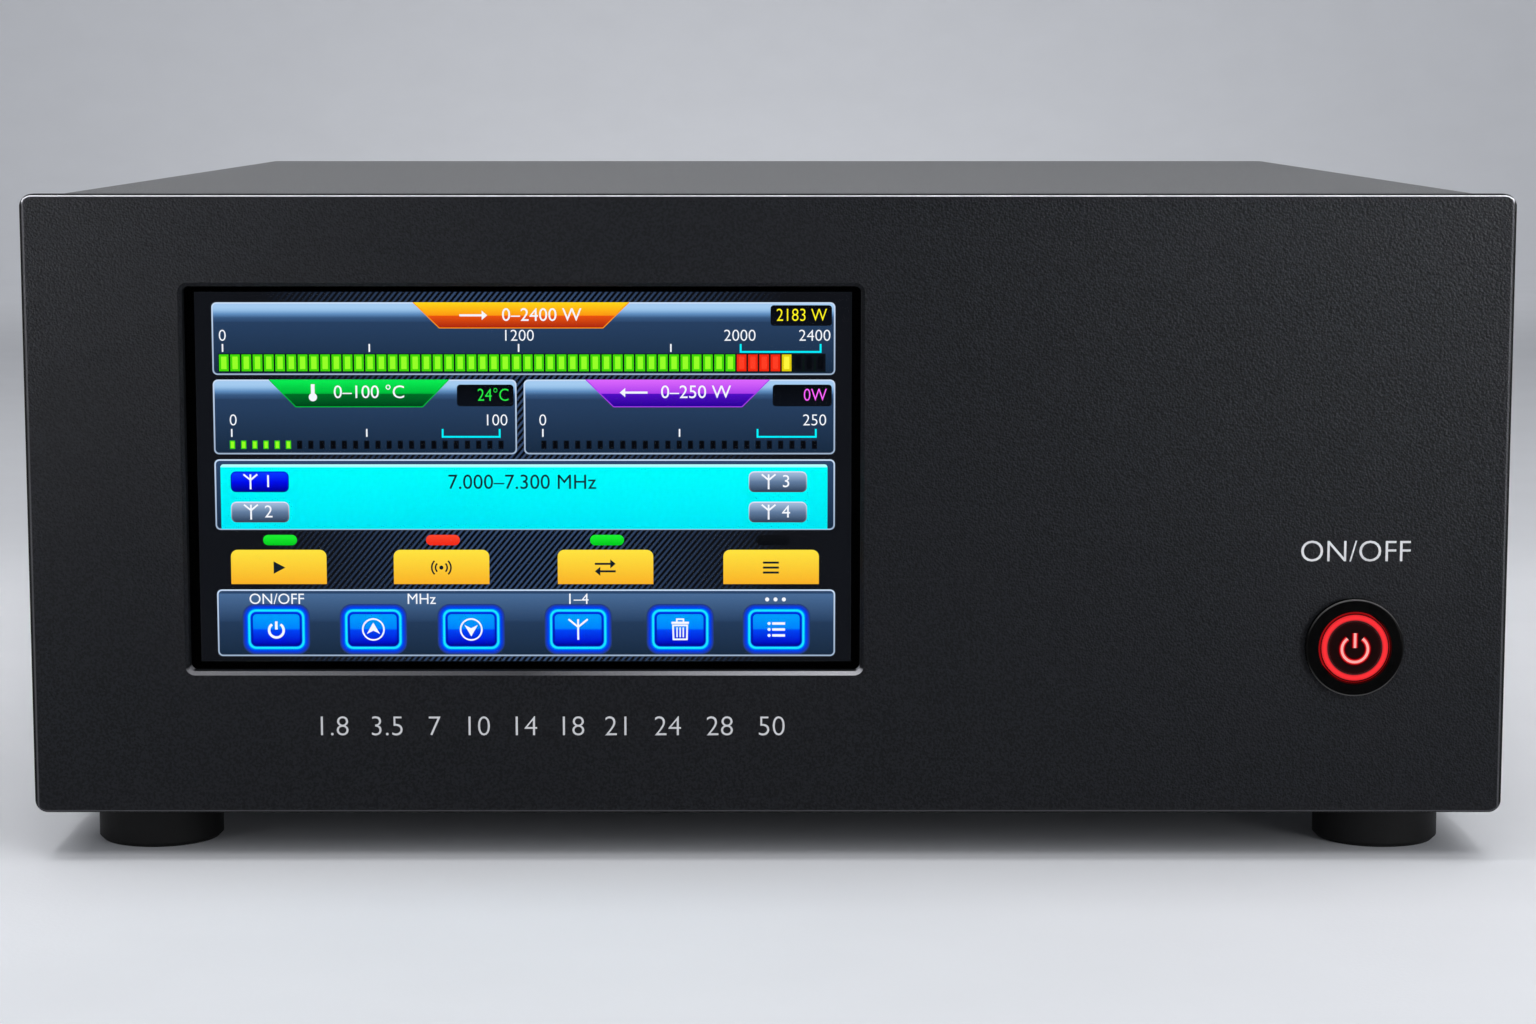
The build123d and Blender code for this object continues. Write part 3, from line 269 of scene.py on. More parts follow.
def hump(mat, value, edges):
    """A mask that rises from 0 to 1 between the first two edges and falls back between the last two."""
    return graded(mat, value, list(zip(edges, (OFF, ON, ON, OFF))))


def drift(mat, vector, size, low, high, stops=(0.3, 0.7)):
    """A colour that drifts between two, over noise of that grain size in metres."""
    return ramp(mat, noise(mat, vector, size, 3.0), list(zip(stops, (low, high))))


def surface(
    name, colour, rough, metal=0.0, spread=0.12, spot=20 * MM, grain=0.6 * MM, depth=0.02 * MM,
    stretch=(1, 1, 1), **sockets
):
    """A finish whose colour and gloss drift over spots, with a fine raised grain."""
    gloss_play = 0.08
    mat, shader = new_material(name, Metallic=metal, **sockets)
    coords = object_coords(mat)
    scaled = vector_calc(mat, "MULTIPLY", coords, stretch)
    low, high = ([c * (1 + side * spread) for c in colour] for side in (-1, 1))
    tone = drift(mat, coords, spot, low, high)
    gloss = noise(mat, scaled, grain)
    drive(
        mat, shader, Base_Color=tone,
        Roughness=ranged(mat, gloss, low=rough - gloss_play, high=rough + gloss_play),
        Normal=bump(mat, gloss, depth),
    )
    return mat


def panel_painted_light(mat, coat):
    """The coat's colour with painted highlight and painted shade lines along the panel's rounded rim, and a
    painted highlight on the opening's lower bevel.
    """
    seen = geometry(mat)
    facing, place = (axes(mat, seen[key]) for key in ("Normal", "Position"))
    from_end = calc(mat, "SUBTRACT", panel_high.x, calc(mat, "ABSOLUTE", place["X"]))
    end_share = calc(mat, "DIVIDE", from_end, rim_width)
    end_light = hump(mat, end_share, end_light_shares)
    end_dark = graded(mat, end_share, list(zip(end_dark_shares, (ON, OFF))))
    past_end = calc(mat, "LESS_THAN", end_share, 1.0)
    from_mid = calc(mat, "ABSOLUTE", calc(mat, "SUBTRACT", place["Z"], panel_mid.z))
    past_top = calc(mat, "GREATER_THAN", from_mid, panel_high.z - panel_mid.z - rim_width)
    at_rim = calc(mat, "MAXIMUM", past_end, past_top)

    sideways, upright = (calc(mat, "ABSOLUTE", facing[axis]) for axis in ("X", "Z"))
    turned = calc(mat, "MAXIMUM", sideways, upright)
    # Painted highlight: pale where the rim turns upwards, dim where it turns sideways at the ends
    painted_highlight = graded(mat, facing["Z"], ((0.0, rim_end_tone), (rim_top_turn, rim_top_tone)))
    light_line = calc(mat, "MAXIMUM", hump(mat, turned, light_turns), end_light)
    # Painted shade: black along the rim's outer turn and the outermost strip of its ends
    dark_line = calc(mat, "MAXIMUM", hump(mat, turned, dark_turns), end_dark)
    light_share = calc(mat, "MULTIPLY", light_line, at_rim)
    dark_share = calc(mat, "MULTIPLY", dark_line, at_rim)
    rim = mix(mat, dark_share, mix(mat, light_share, coat, painted_highlight), PURE_BLACK)

    # Painted highlight on the display opening's lower bevel, varying along it and brightest at its right
    # end
    painted_bevel_highlight = graded(mat, ranged(mat, place["X"], glass_low.x, glass_high.x), bevel_tones)
    inside = calc(mat, "SUBTRACT", 1.0, at_rim)
    bevel_share = calc(mat, "MULTIPLY", hump(mat, facing["Z"], bevel_turns), inside)
    return mix(mat, bevel_share, rim, painted_bevel_highlight)


def gloss_black(name):
    """Polished black of the button's bezel, with painted highlights along its turned edges, lightest where
    they face up or down.
    """
    edge_highlight_tones = ((0.2, (14, 14, 14)), (0.7, (84, 83, 83)))
    spot, haze = 2 * MM, 1.5 * MM
    mat, shader = new_material(name, Specular_IOR_Level=0.02)
    coords = object_coords(mat)
    ground = drift(mat, coords, spot, rgb(2, 2, 2), rgb(5, 5, 5))
    facing = axes(mat, geometry(mat)["Normal"])
    turned, upright = (calc(mat, "ABSOLUTE", facing[axis]) for axis in ("Y", "Z"))
    # Painted highlight on the turned edges, lighter as they face up or down
    edge = graded(mat, upright, edge_highlight_tones)
    drive(
        mat, shader, Base_Color=mix(mat, hump(mat, turned, bevel_turns), ground, edge),
        Roughness=ranged(mat, noise(mat, coords, haze), low=0.15, high=0.3),
    )
    return mat


def powder_coat(name, colour, rough, shine, painted_light=None, sheen=0.0):
    """Baked textured coat: close rounded pebbles over a fine grain, with painted highlights and painted
    shade where a function for them is given.
    """
    pebble_size, pebble_depth = 0.5 * MM, 0.12 * MM
    grain_size, grain_depth = 0.3 * MM, 0.03 * MM
    speckle_size, speckle_shares, speckle_stops = 0.65 * MM, (0.65, 1.4), (0.42, 0.58)
    gloss_play = 0.07
    mat, shader = new_material(
        name, Specular_IOR_Level=shine, Sheen_Weight=sheen, Sheen_Roughness=0.3
    )
    coords = object_coords(mat)
    pebble_inputs = {"Vector": coords, "Scale": 1 / pebble_size, "Smoothness": 0.5}
    pebbles = add_node(mat, "ShaderNodeTexVoronoi", pebble_inputs, feature="SMOOTH_F1")
    grain = noise(mat, coords, grain_size, 3.0)
    low, high = ([c * share for c in colour] for share in speckle_shares)
    coat = drift(mat, coords, speckle_size, low, high, speckle_stops)
    fine = bump(mat, grain, grain_depth, 0.5)
    drive(
        mat, shader, Base_Color=painted_light(mat, coat) if painted_light else coat,
        Roughness=ranged(mat, grain, low=rough - gloss_play, high=rough + gloss_play),
        Normal=bump(mat, pebbles.outputs["Distance"], pebble_depth, 0.9, fine, invert=True),
    )
    return mat


def board_laminate(name):
    """Green laminate crossed by rows of copper tracks."""
    track_depth = 0.03 * MM
    mat, shader = new_material(name, Roughness=0.4)
    track_inputs = {
        "Vector": object_coords(mat), "Scale": 1.0,
        "Color1": (0.006, 0.06, 0.02, 1), "Color2": (0.01, 0.09, 0.03, 1),
        "Mortar": (0.03, 0.16, 0.05, 1), "Mortar Size": 0.2 * MM,
        "Brick Width": 6 * MM, "Row Height": 1.4 * MM,
    }
    tracks = add_node(mat, "ShaderNodeTexBrick", track_inputs).outputs
    raised = bump(mat, tracks["Fac"], track_depth, 0.4)
    drive(mat, shader, Base_Color=tracks["Color"], Normal=raised)
    return mat


def clear_glass(name):
    """Thin cover glass with a slight unevenness in its gloss."""
    haze = 30 * MM
    mat, shader = new_material(name, Base_Color=(1, 1, 1, 1), Transmission_Weight=1.0, IOR=1.05)
    uneven = noise(mat, object_coords(mat), haze, 1.0)
    drive(mat, shader, Roughness=ranged(mat, uneven, high=0.01))
    return mat


def lit_picture(name, layer):
    """Light of the display, from the colours kept on the points of its shapes."""
    mat, shader = new_material(name, **LIT_ONLY)
    colours = add_node(mat, "ShaderNodeVertexColor", layer_name=layer).outputs["Color"]
    drive(mat, shader, Emission_Color=colours)
    return mat


def striped_backdrop(name):
    """Dark ground of the picture with slanting blue pinstripes that fade towards both sides."""
    # A wave texture of scale 1 has its bands this far apart
    unit_pitch = pi / 10
    mat, shader = new_material(name, **LIT_ONLY)
    coords = object_coords(mat)
    turned_inputs = {"Vector": coords, "Rotation": (0, radians(stripe_slant - 90), 0)}
    turned = add_node(mat, "ShaderNodeMapping", turned_inputs).outputs["Vector"]
    wave_inputs = {"Vector": turned, "Scale": unit_pitch / stripe_pitch, "Distortion": 0.0}
    wave = add_node(mat, "ShaderNodeTexWave", wave_inputs, bands_direction="X").outputs["Fac"]
    stripes = graded(mat, wave, stripe_tones)
    across = axes(mat, vector_calc(mat, "SUBTRACT", coords, screen_mid))["X"]
    fade = ranged(mat, calc(mat, "ABSOLUTE", across), *stripe_fade, low=1.0, high=0.0)
    drive(mat, shader, Emission_Color=mix(mat, fade, (*rgb(*faded_tone), 1), stripes))
    return mat


def red_glow(name, colour, light, rough, shine, glow):
    """Moulding of the button that glows by its distance from the axis, in (millimetres, level) points."""
    mat, shader = new_material(
        name, Base_Color=(*colour, 1), Emission_Color=(*light, 1), Roughness=rough,
        Specular_IOR_Level=shine,
    )
    centred = vector_calc(mat, "SUBTRACT", object_coords(mat), button_mid)
    radius = vector_calc(mat, "LENGTH", vector_calc(mat, "MULTIPLY", centred, (1, 0, 1)))
    reach = glow[-1][0]
    levels = [(place / reach, (level,) * 3) for place, level in glow]
    drive(mat, shader, Emission_Strength=ramp(mat, ranged(mat, radius, end=reach * MM), levels))
    return mat


plated = dict(metal=1.0, grain=0.4 * MM, depth=0.006 * MM)
smooth = dict(grain=0.3 * MM, depth=0.005 * MM)
finishes = {
    "panel_coat": powder_coat("panel_coat", rgb(21, 22, 25), 0.4, 0.1, painted_light=panel_painted_light),
    "case_coat": powder_coat("case_coat", rgb(24, 25, 28), 0.45, 0.5, sheen=0.36),
    "zinc_steel": surface("zinc_steel", (0.55, 0.56, 0.57), 0.38, 1.0, spread=0.15, spot=12 * MM),
    "spring_steel": surface("spring_steel", (0.5, 0.5, 0.52), 0.25, 1.0),
    "rubber": surface(
        "rubber", rgb(10, 10, 11), 0.7, spread=0.2, grain=0.4 * MM, depth=0.03 * MM,
        Specular_IOR_Level=0.3,
    ),
    "glass": clear_glass("glass"),
    "display": surface("display", rgb(6, 6, 8), 0.3, spread=0.2),
    "button_black": gloss_black("button_black"),
    # The cap glows though it is no lamp: painted glow from the ring, and a painted reflection of the ring
    # near its rim
    "button_cap": red_glow("button_cap", rgb(4, 3, 3), (1, 0.01, 0.015), 0.3, 0.03, cap_glow),
    "red_light": red_glow("red_light", rgb(30, 5, 6), rgb(255, 38, 46), 0.35, 0.15, ring_glow),
    "black_plastic": surface("black_plastic", rgb(28, 28, 30), 0.5, grain=0.5 * MM),
    "nickel": surface("nickel", (0.66, 0.63, 0.58), 0.24, **plated),
    "white_insulator": surface("white_insulator", (0.8, 0.79, 0.75), 0.4, spread=0.04),
    "gold": surface("gold", (0.85, 0.58, 0.22), 0.25, **plated),
    "bare_aluminium": surface("bare_aluminium", (0.66, 0.67, 0.68), 0.35, 1.0, stretch=BRUSHED),
    "copper": surface("copper", (0.75, 0.36, 0.22), 0.35, 1.0, spread=0.2),
    "circuit_board": board_laminate("circuit_board"),
    "supply_case": surface("supply_case", (0.6, 0.61, 0.62), 0.4, 1.0, stretch=BRUSHED),
    "ferrite": surface("ferrite", rgb(60, 60, 62), 0.6),
    "component": surface("component", rgb(48, 52, 66), 0.45),
}
print_ink = surface("print_ink", rgb(198, 198, 201), 0.45, spread=0.05, **smooth)
screw_black = surface("screw_black", rgb(30, 30, 32), 0.35, 0.6, **smooth)
screw_bright = surface("screw_bright", (0.6, 0.6, 0.6), 0.3, 1.0, **smooth)
picture_light = lit_picture("picture_light", "light")
backdrop_light = striped_backdrop("backdrop_light")

for part in frame["record"]["subparts"]:
    nodes[part["node"]].material_slots[0].material = finishes[part["material_slot"]]


# Pieces

def put(name, data):
    """A new object in the scene."""
    made = bpy.data.objects.new(name, data)
    scene.collection.objects.link(made)
    return made


def add_piece(name, mesh, body, material):
    """Put a finished mesh in the scene as a piece of the object."""
    mesh.materials.append(material)
    piece = put(name, mesh)
    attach(piece, body)
    return piece


def solid_mesh(name, bm, crease=35.0):
    """A mesh from bmesh work: normals outwards, smooth except over sharp edges."""
    bmesh.ops.recalc_face_normals(bm, faces=bm.faces)
    for face in bm.faces:
        face.smooth = True
    for edge in bm.edges:
        edge.smooth = len(edge.link_faces) == 2 and edge.calc_face_angle(pi) < radians(crease)
    mesh = bpy.data.meshes.new(name)
    bm.to_mesh(mesh)
    bm.free()
    return mesh


def lathe(bm, rings, segments, place=Matrix.Identity(4)):
    """Skin over rings of (radius, height) about Z; a third value is a polygon's sides, radius 0 a point."""
    loops = []
    for radius, height, *sides in rings:
        loop = []
        for i in range(segments if radius else 1):
            angle = 2 * pi * i / segments
            reach = radius
            if sides:
                half = pi / sides[0]
                reach = radius * cos(half) / cos(angle % (2 * half) - half)
            point = Vector((reach * cos(angle), reach * sin(angle), height))
            loop.append(bm.verts.new(place @ point))
        loops.append(loop)
    for low, high in zip(loops, loops[1:]):
        for i in range(segments):
            j = (i + 1) % segments
            lower = [low[i % len(low)], low[j % len(low)]]
            upper = [high[j % len(high)], high[i % len(high)]]
            bm.faces.new(dict.fromkeys(lower + upper))


def outward(at, direction):
    """Matrix that stands +Z along a direction, at a point."""
    turn = Vector(direction).to_track_quat("Z", "Y").to_matrix().to_4x4()
    return Matrix.Translation(at) @ turn


# Screws: their heads in shares of radius and height, then their sizes and places
pan_profile = ((0.72, 1.0), (0.92, 0.82), (1.0, 0.45), (1.0, 0.0))
pan_socket = 0.52
pan_socket_floor = 0.3
sunk_socket = 0.5
sunk_socket_floor = 0.45
HEXAGON = 6
screw_segments = 24
cover_screw = dict(head_r=2.7 * MM, shank_r=1.5 * MM, length=6 * MM)
rear_screw = dict(head_r=2.8 * MM, head_h=1.8 * MM, shank_r=1.5 * MM, length=6 * MM)
fan_screw = dict(head_r=3.5 * MM, head_h=2.4 * MM, shank_r=2.0 * MM, length=8 * MM)
foot_screw = dict(head_r=4.0 * MM, head_h=3.0 * MM, shank_r=2.0 * MM, length=8 * MM)
connector_screw = dict(head_r=2.4 * MM, head_h=1.5 * MM, shank_r=1.2 * MM, length=1.0 * MM)
cover_screw_margin = 30 * MM
cover_screw_rise = 11 * MM
cover_screw_rows = 4
rear_screw_margin = 22 * MM
rear_screw_inset = 6 * MM
fan_screw_inset = 4.75 * MM
foot_screw_seat = 7 * MM


def pan_rings(head_r, head_h, shank_r, length):
    """Pan-head screw with a hexagon socket, seated at height 0."""
    socket, floor = head_r * pan_socket, head_h * pan_socket_floor
    return [
        (0, floor), (socket, floor, HEXAGON), (socket, head_h, HEXAGON),
        *((head_r * out, head_h * up) for out, up in pan_profile),
        (shank_r, 0), (shank_r, -length), (0, -length),
    ]


def sunk_rings(head_r, shank_r, length):
    """Countersunk screw with a hexagon socket, flush at height 0."""
    socket, floor = head_r * sunk_socket, -head_r * sunk_socket_floor
    return [
        (0, floor), (socket, floor, HEXAGON), (socket, 0, HEXAGON), (head_r, 0),
        (shank_r, shank_r - head_r), (shank_r, -length), (0, -length),
    ]


def screw_set(name, rings, places, material):
    """All screws of one kind as one piece; each place is a point and a direction."""
    bm = bmesh.new()
    for at, direction in places:
        lathe(bm, rings, screw_segments, outward(at, direction))
    return add_piece(name, solid_mesh(name, bm), "case", material)


def rear_corners(low, high, by):
    """Points on the rear panel at the corners of a box drawn in, and the way a screw faces there."""
    return [
        ((x, rear_y, z), BACKWARD)
        for x in (low.x + by, high.x - by)
        for z in (low.z + by, high.z - by)
    ]


cover_run = (cover_high.y - cover_low.y - 2 * cover_screw_margin) / (cover_screw_rows - 1)
cover_ys = [cover_low.y + cover_screw_margin + i * cover_run for i in range(cover_screw_rows)]
cover_places = [
    ((side * cover_high.x, y, cover_low.z + cover_screw_rise), (side, 0, 0))
    for side in (-1, 1)
    for y in cover_ys
]
rear_places = [
    ((side * (post_x - rear_screw_inset), rear_y, z), BACKWARD)
    for side in (-1, 1)
    for z in (cover_low.z + rear_screw_margin, cover_high.z - rear_screw_margin)
]
fan_places = [
    place for node in fan_nodes for place in rear_corners(*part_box(node), fan_screw_inset)
]
foot_places = [((*middle(node).xy, foot_screw_seat), (0, 0, -1)) for node in foot_nodes]
screw_set("cover_screws", sunk_rings(**cover_screw), cover_places, screw_black)
screw_set("rear_screws", pan_rings(**rear_screw), rear_places, screw_black)
screw_set("fan_screws", pan_rings(**fan_screw), fan_places, screw_black)
screw_set("foot_screws", pan_rings(**foot_screw), foot_places, screw_bright)

# Coaxial connectors with cut threads, in place of the plain barrels
coax_flange = 25.4 * MM
coax_plate = 2.2 * MM
coax_corner = coax_flange / 16
coax_corner_steps = 4
coax_barrel_r = 7.94 * MM
coax_root_r = 7.35 * MM
coax_bore_r = 6.3 * MM
coax_boss_r = 7.5 * MM
coax_boss = 4.5 * MM
coax_reach = 17.0 * MM
coax_pitch = 1.06 * MM
coax_crest = (0.4, 0.6)
coax_edge = 0.8 * MM
coax_notch = 1.6 * MM
coax_notch_turn = 0.1
coax_screw_spacing = 18.2 * MM
coax_segments = 80
coax_crease = 30.0


def coax_mesh():
    """Flanged barrel along +Z: threads outside, four key notches in its rim, a boss behind the flange."""
    bm = bmesh.new()
    lift = Matrix.Translation((0, 0, coax_plate / 2))
    size = Matrix.Diagonal((coax_flange, coax_flange, coax_plate, 1))
    bmesh.ops.create_cube(bm, size=1.0, matrix=lift @ size)
    upright = [e for e in bm.edges if abs(e.verts[0].co.z - e.verts[1].co.z) > coax_plate / 2]
    bmesh.ops.bevel(
        bm, geom=upright, offset=coax_corner, segments=coax_corner_steps, affect="EDGES"
    )
    rings = [(coax_bore_r, -coax_boss), (coax_boss_r, -coax_boss), (coax_boss_r, 0), (coax_root_r, 0)]
    height = coax_plate + coax_pitch / 2
    while height + coax_pitch < coax_reach - coax_edge:
        rings.append((coax_root_r, height))
        rings += [(coax_barrel_r, height + coax_pitch * share) for share in coax_crest]
        height += coax_pitch
    rings += [(coax_root_r, coax_reach), (coax_bore_r, coax_reach), (coax_bore_r, -coax_boss)]
    lathe(bm, rings, coax_segments)
    for vert in bm.verts:
        angle = vert.co.xy.angle_signed(Vector((1, 0)), 0.0) % (pi / 2)
        at_notch = min(angle, pi / 2 - angle) < coax_notch_turn
        if vert.co.z > coax_reach - coax_edge / 2 and at_notch:
            vert.co.z -= coax_notch
    return solid_mesh("coaxial_connector", bm, coax_crease)


coax_shape = coax_mesh()
coax_shape.materials.append(finishes["nickel"])
coax_screw_places = []
for node in coax_nodes:
    centre = middle(node)
    at = Vector((centre.x, rear_y, centre.z))
    piece = put(f"{node}_threaded", coax_shape)
    piece.matrix_world = outward(at, BACKWARD)
    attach(piece, "case")
    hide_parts(node)
    coax_screw_places += [
        (at + Vector((x * coax_screw_spacing / 2, coax_plate, z * coax_screw_spacing / 2)), BACKWARD)
        for x in (-1, 1)
        for z in (-1, 1)
    ]
connector_rings = pan_rings(**connector_screw)
screw_set("connector_screws", connector_rings, coax_screw_places, screw_bright)

# Keyed faces of the control sockets and their contacts
socket_pitch = 38 * MM
socket_faces_at = [
    Vector((socket_mid.x + side * socket_pitch / 2, socket_high.y, socket_mid.z))
    for side in (-1, 1)
]
key_width = 15.0 * MM
key_height = 6.8 * MM
key_taper = 1.2 * MM
key_corner = 1.5 * MM
key_corner_steps = 5
key_edge_steps = 2
key_lift = 0.3 * MM
key_sunk = 0.5 * MM
pin_counts = ((5, 1), (4, -1))
pin_pitch = 2.77 * MM
pin_rows = 2.84 * MM
pin_r = 0.8 * MM
pin_bore_r = 0.45 * MM
pin_lift = 0.1 * MM
pin_segments = 16


def socket_keys():
    """Dark insulator on each socket's face: wider above, with rounded corners and a turned edge."""
    bm = bmesh.new()
    size = Matrix.Diagonal((key_width, key_lift + key_sunk, key_height, 1))
    for at in socket_faces_at:
        place = Matrix.Translation(at + Vector((0, (key_lift - key_sunk) / 2, 0)))
        made = bmesh.ops.create_cube(bm, size=1.0, matrix=place @ size)["verts"]
        for vert in made:
            if vert.co.z < at.z:
                vert.co.x -= key_taper if vert.co.x > at.x else -key_taper
        edges = {e for v in made for e in v.link_edges}
        deep = [e for e in edges if abs(e.verts[0].co.y - e.verts[1].co.y) > key_lift]
        bmesh.ops.bevel(bm, geom=deep, offset=key_corner, segments=key_corner_steps, affect="EDGES")
    rim = [e for e in bm.edges if all(v.co.y > socket_high.y for v in e.verts)]
    bmesh.ops.bevel(bm, geom=rim, offset=key_lift / 2, segments=key_edge_steps, affect="EDGES")
    return solid_mesh("socket_keys", bm)


def socket_pins():
    """Nine round contacts on each socket's face, five over four."""
    bm = bmesh.new()
    top, floor = key_lift + pin_lift, key_lift + pin_lift / 4
    rings = [(0, floor), (pin_bore_r, floor), (pin_bore_r, top), (pin_r, top), (pin_r, 0)]
    for at in socket_faces_at:
        for count, row in pin_counts:
            for i in range(count):
                shift = Vector(((i - (count - 1) / 2) * pin_pitch, 0, row * pin_rows / 2))
                lathe(bm, rings, pin_segments, outward(at + shift, BACKWARD))
    return solid_mesh("socket_pins", bm)


add_piece("socket_keys", socket_keys(), "case", finishes["black_plastic"])
add_piece("socket_pins", socket_pins(), "case", finishes["gold"])

# Return spring of the button: a copy of the CAD coil in its place, in spring steel, with the CAD node
# hidden
spring = put("return_spring_coil", nodes["power_button_spring"].data.copy())
spring.material_slots[0].material = finishes["spring_steel"]
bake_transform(spring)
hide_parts("power_button_spring")


# Flat drawing for the display's picture, the printed lettering and the button's sign

layer_thickness = 0.02
letter_steps = 4
corner_steps = 6


def text_outlines(words, size, thin=0.0):
    """Filled letters of a font size, as points and faces centred on the origin."""
    font = bpy.data.curves.new("letters", "FONT")
    font.body = words
    font.align_x, font.align_y = "CENTER", "CENTER"
    font.size = size
    font.offset = -thin
    font.resolution_u = letter_steps
    holder = bpy.data.objects.new("letters", font)
    mesh = bpy.data.meshes.new_from_object(holder)
    points = [(v.co.x, v.co.y) for v in mesh.vertices]
    faces = [list(p.vertices) for p in mesh.polygons]
    bpy.data.objects.remove(holder)
    bpy.data.meshes.remove(mesh)
    bpy.data.curves.remove(font)
    return points, faces


def extent(values):
    """How far some values spread."""
    return max(values) - min(values)


capital_share = extent([y for _, y in text_outlines("H", 1.0)[0]])


def text_span(words, height):
    """Width of some letters with capitals of that height."""
    return extent([x for x, _ in text_outlines(words, height / capital_share)[0]])


def arc(x, y, radius, start, end, steps=corner_steps):
    """Points along an arc; angles in degrees, clockwise from the right as seen on the picture."""
    angles = [radians(start + (end - start) * i / steps) for i in range(steps + 1)]
    return [(x + radius * cos(a), y + radius * sin(a)) for a in angles]


def disc(x, y, radius, steps):
    """Outline of a full circle."""
    return arc(x, y, radius, 0, 360, steps)[:-1]


def upper_corners(left, top, right, radius):
    """The two round upper corners of a rectangle, clockwise."""
    y = top + radius
    return arc(left + radius, y, radius, 180, 270) + arc(right - radius, y, radius, 270, 360)


def lower_corners(left, right, bottom, radius):
    """The two round lower corners of a rectangle, clockwise."""
    y = bottom - radius
    return arc(right - radius, y, radius, 0, 90) + arc(left + radius, y, radius, 90, 180)


def rounded(left, top, right, bottom, radius):
    """Outline of a rectangle with round corners, clockwise from the top left."""
    return upper_corners(left, top, right, radius) + lower_corners(left, right, bottom, radius)


def box(left, top, right, bottom):
    """Outline of a plain rectangle."""
    return [(left, top), (right, top), (right, bottom), (left, bottom)]


def inset(rect, by):
    """A rectangle drawn in on all sides."""
    left, top, right, bottom = rect
    return left + by, top + by, right - by, bottom - by


def about(x, y, *points):
    """Points given from a middle, moved to it."""
    return [(x + dx, y + dy) for dx, dy in points]


class Drawing:
    """Flat coloured shapes facing the front, in thin layers, in millimetres right of and below a corner."""

    def __init__(self, corner):
        self.corner = Vector(corner)
        self.points, self.faces, self.colours = [], [], []

    def add(self, points, faces, level, colours):
        """Faces over points, on a layer, with a colour for each point."""
        start = len(self.points)
        lift = -level * layer_thickness
        self.points += [self.corner + Vector((x, lift, -y)) * MM for x, y in points]
        self.faces += [[start + i for i in face] for face in faces]
        self.colours += colours

    def shape(self, outline, level, top, bottom=None):
        """A filled outline whose colour runs from its top to its bottom."""
        bottom = bottom or top
        heights = [y for _, y in outline]
        low, span = min(heights), extent(heights)
        shades = [[a + (b - a) * (y - low) / span for a, b in zip(top, bottom)] for y in heights]
        self.add(outline, [range(len(outline))], level, shades)

    def band(self, outer, inner, level, outside, inside):
        """A closed band between two outlines of as many points, shaded from one to the other."""
        count = len(outer)
        quads = [(i, (i + 1) % count, count + (i + 1) % count, count + i) for i in range(count)]
        self.add(outer + inner, quads, level, [outside] * count + [inside] * count)

    def stroke(self, path, width, level, colour, closed=False):
        """A line of even width along a path, with mitred corners."""
        count = len(path)
        sides = [[], []]
        for i, (x, y) in enumerate(path):
            before = path[i - 1] if i or closed else path[i]
            after = path[(i + 1) % count] if i < count - 1 or closed else path[i]
            runs = [(x - before[0], y - before[1]), (after[0] - x, after[1] - y)]
            units = [(a / hypot(a, b), b / hypot(a, b)) for a, b in runs if hypot(a, b)]
            dx, dy = (sum(u[k] for u in units) / len(units) for k in (0, 1))
            reach = width / 2 / (dx * dx + dy * dy)
            for side, sign in zip(sides, (1, -1)):
                side.append((x - sign * dy * reach, y + sign * dx * reach))
        if closed:
            self.band(sides[0], sides[1], level, colour, colour)
        else:
            self.shape(sides[0] + sides[1][::-1], level, colour)

    def text(self, words, x, y, height, level, colour, thin=0.0, squeeze=1.0, right=False):
        """Letters centred on a point, or ending at it; squeeze makes them narrower."""
        points, faces = text_outlines(words, height / capital_share, thin)
        shift = max(p[0] for p in points) if right else 0.0
        moved = [(x + (a - shift) * squeeze, y - b) for a, b in points]
        self.add(moved, faces, level, [colour] * len(points))

    def piece(self, name, body, slot, material):
        """All the shapes as one piece, with their colours on its points."""
        mesh = bpy.data.meshes.new(name)
        mesh.from_pydata(self.points, [], self.faces)
        light = mesh.color_attributes.new("light", "FLOAT_COLOR", "POINT")
        for value, colour in zip(light.data, self.colours):
            value.color = (*colour, 1.0)
        return add_piece(name, mesh, body, material)


# The display's picture, in millimetres from its upper left corner
screen_width = 156.1
screen_height = 88.8
screen_recess = 0.4
screen_corner = (
    screen_mid.x - screen_width / 2 * MM,
    glass_high.y + screen_recess * MM,
    screen_mid.z + screen_height / 2 * MM,
)

# Layers on which shapes start; the finer parts of a shape lie on those above
ground_level = 0.4
panel_level = 1
lamp_level = 2
mark_level = 4
sign_level = 8

white = rgb(245, 248, 255)
black = rgb(6, 8, 12)
cyan = rgb(0, 240, 255)
ink = rgb(18, 30, 40)
pale_blue = rgb(200, 220, 246)
steel_blue = rgb(160, 180, 206)
navy = rgb(44, 70, 106)
deep_navy = rgb(24, 42, 64)
lit_green = (rgb(66, 214, 8), rgb(150, 255, 40))
lit_red = (rgb(240, 40, 16), rgb(255, 62, 36))
lit_yellow = (rgb(226, 206, 10), rgb(255, 246, 60))
unlit = (rgb(12, 15, 22), rgb(6, 8, 13))

# Panels, as left, top, right and bottom; their shine, as depth below the rim and colour
meter_panels = ((4.0, 2.5, 152.2, 19.8), (4.0, 20.9, 76.3, 38.8), (78.0, 20.9, 152.2, 38.8))
band_panel = (4.0, 40.0, 152.2, 57.0)
key_panel = (4.0, 71.4, 152.3, 87.6)
panel_corner = 1.2
panel_rim = 0.35
body_corner = 0.9
shine_steps = (
    (0.0, rgb(166, 204, 242)), (0.9, rgb(164, 203, 240)), (1.5, rgb(150, 192, 232)),
    (2.4, rgb(98, 144, 194)), (3.3, rgb(57, 90, 131)), (4.3, navy),
)

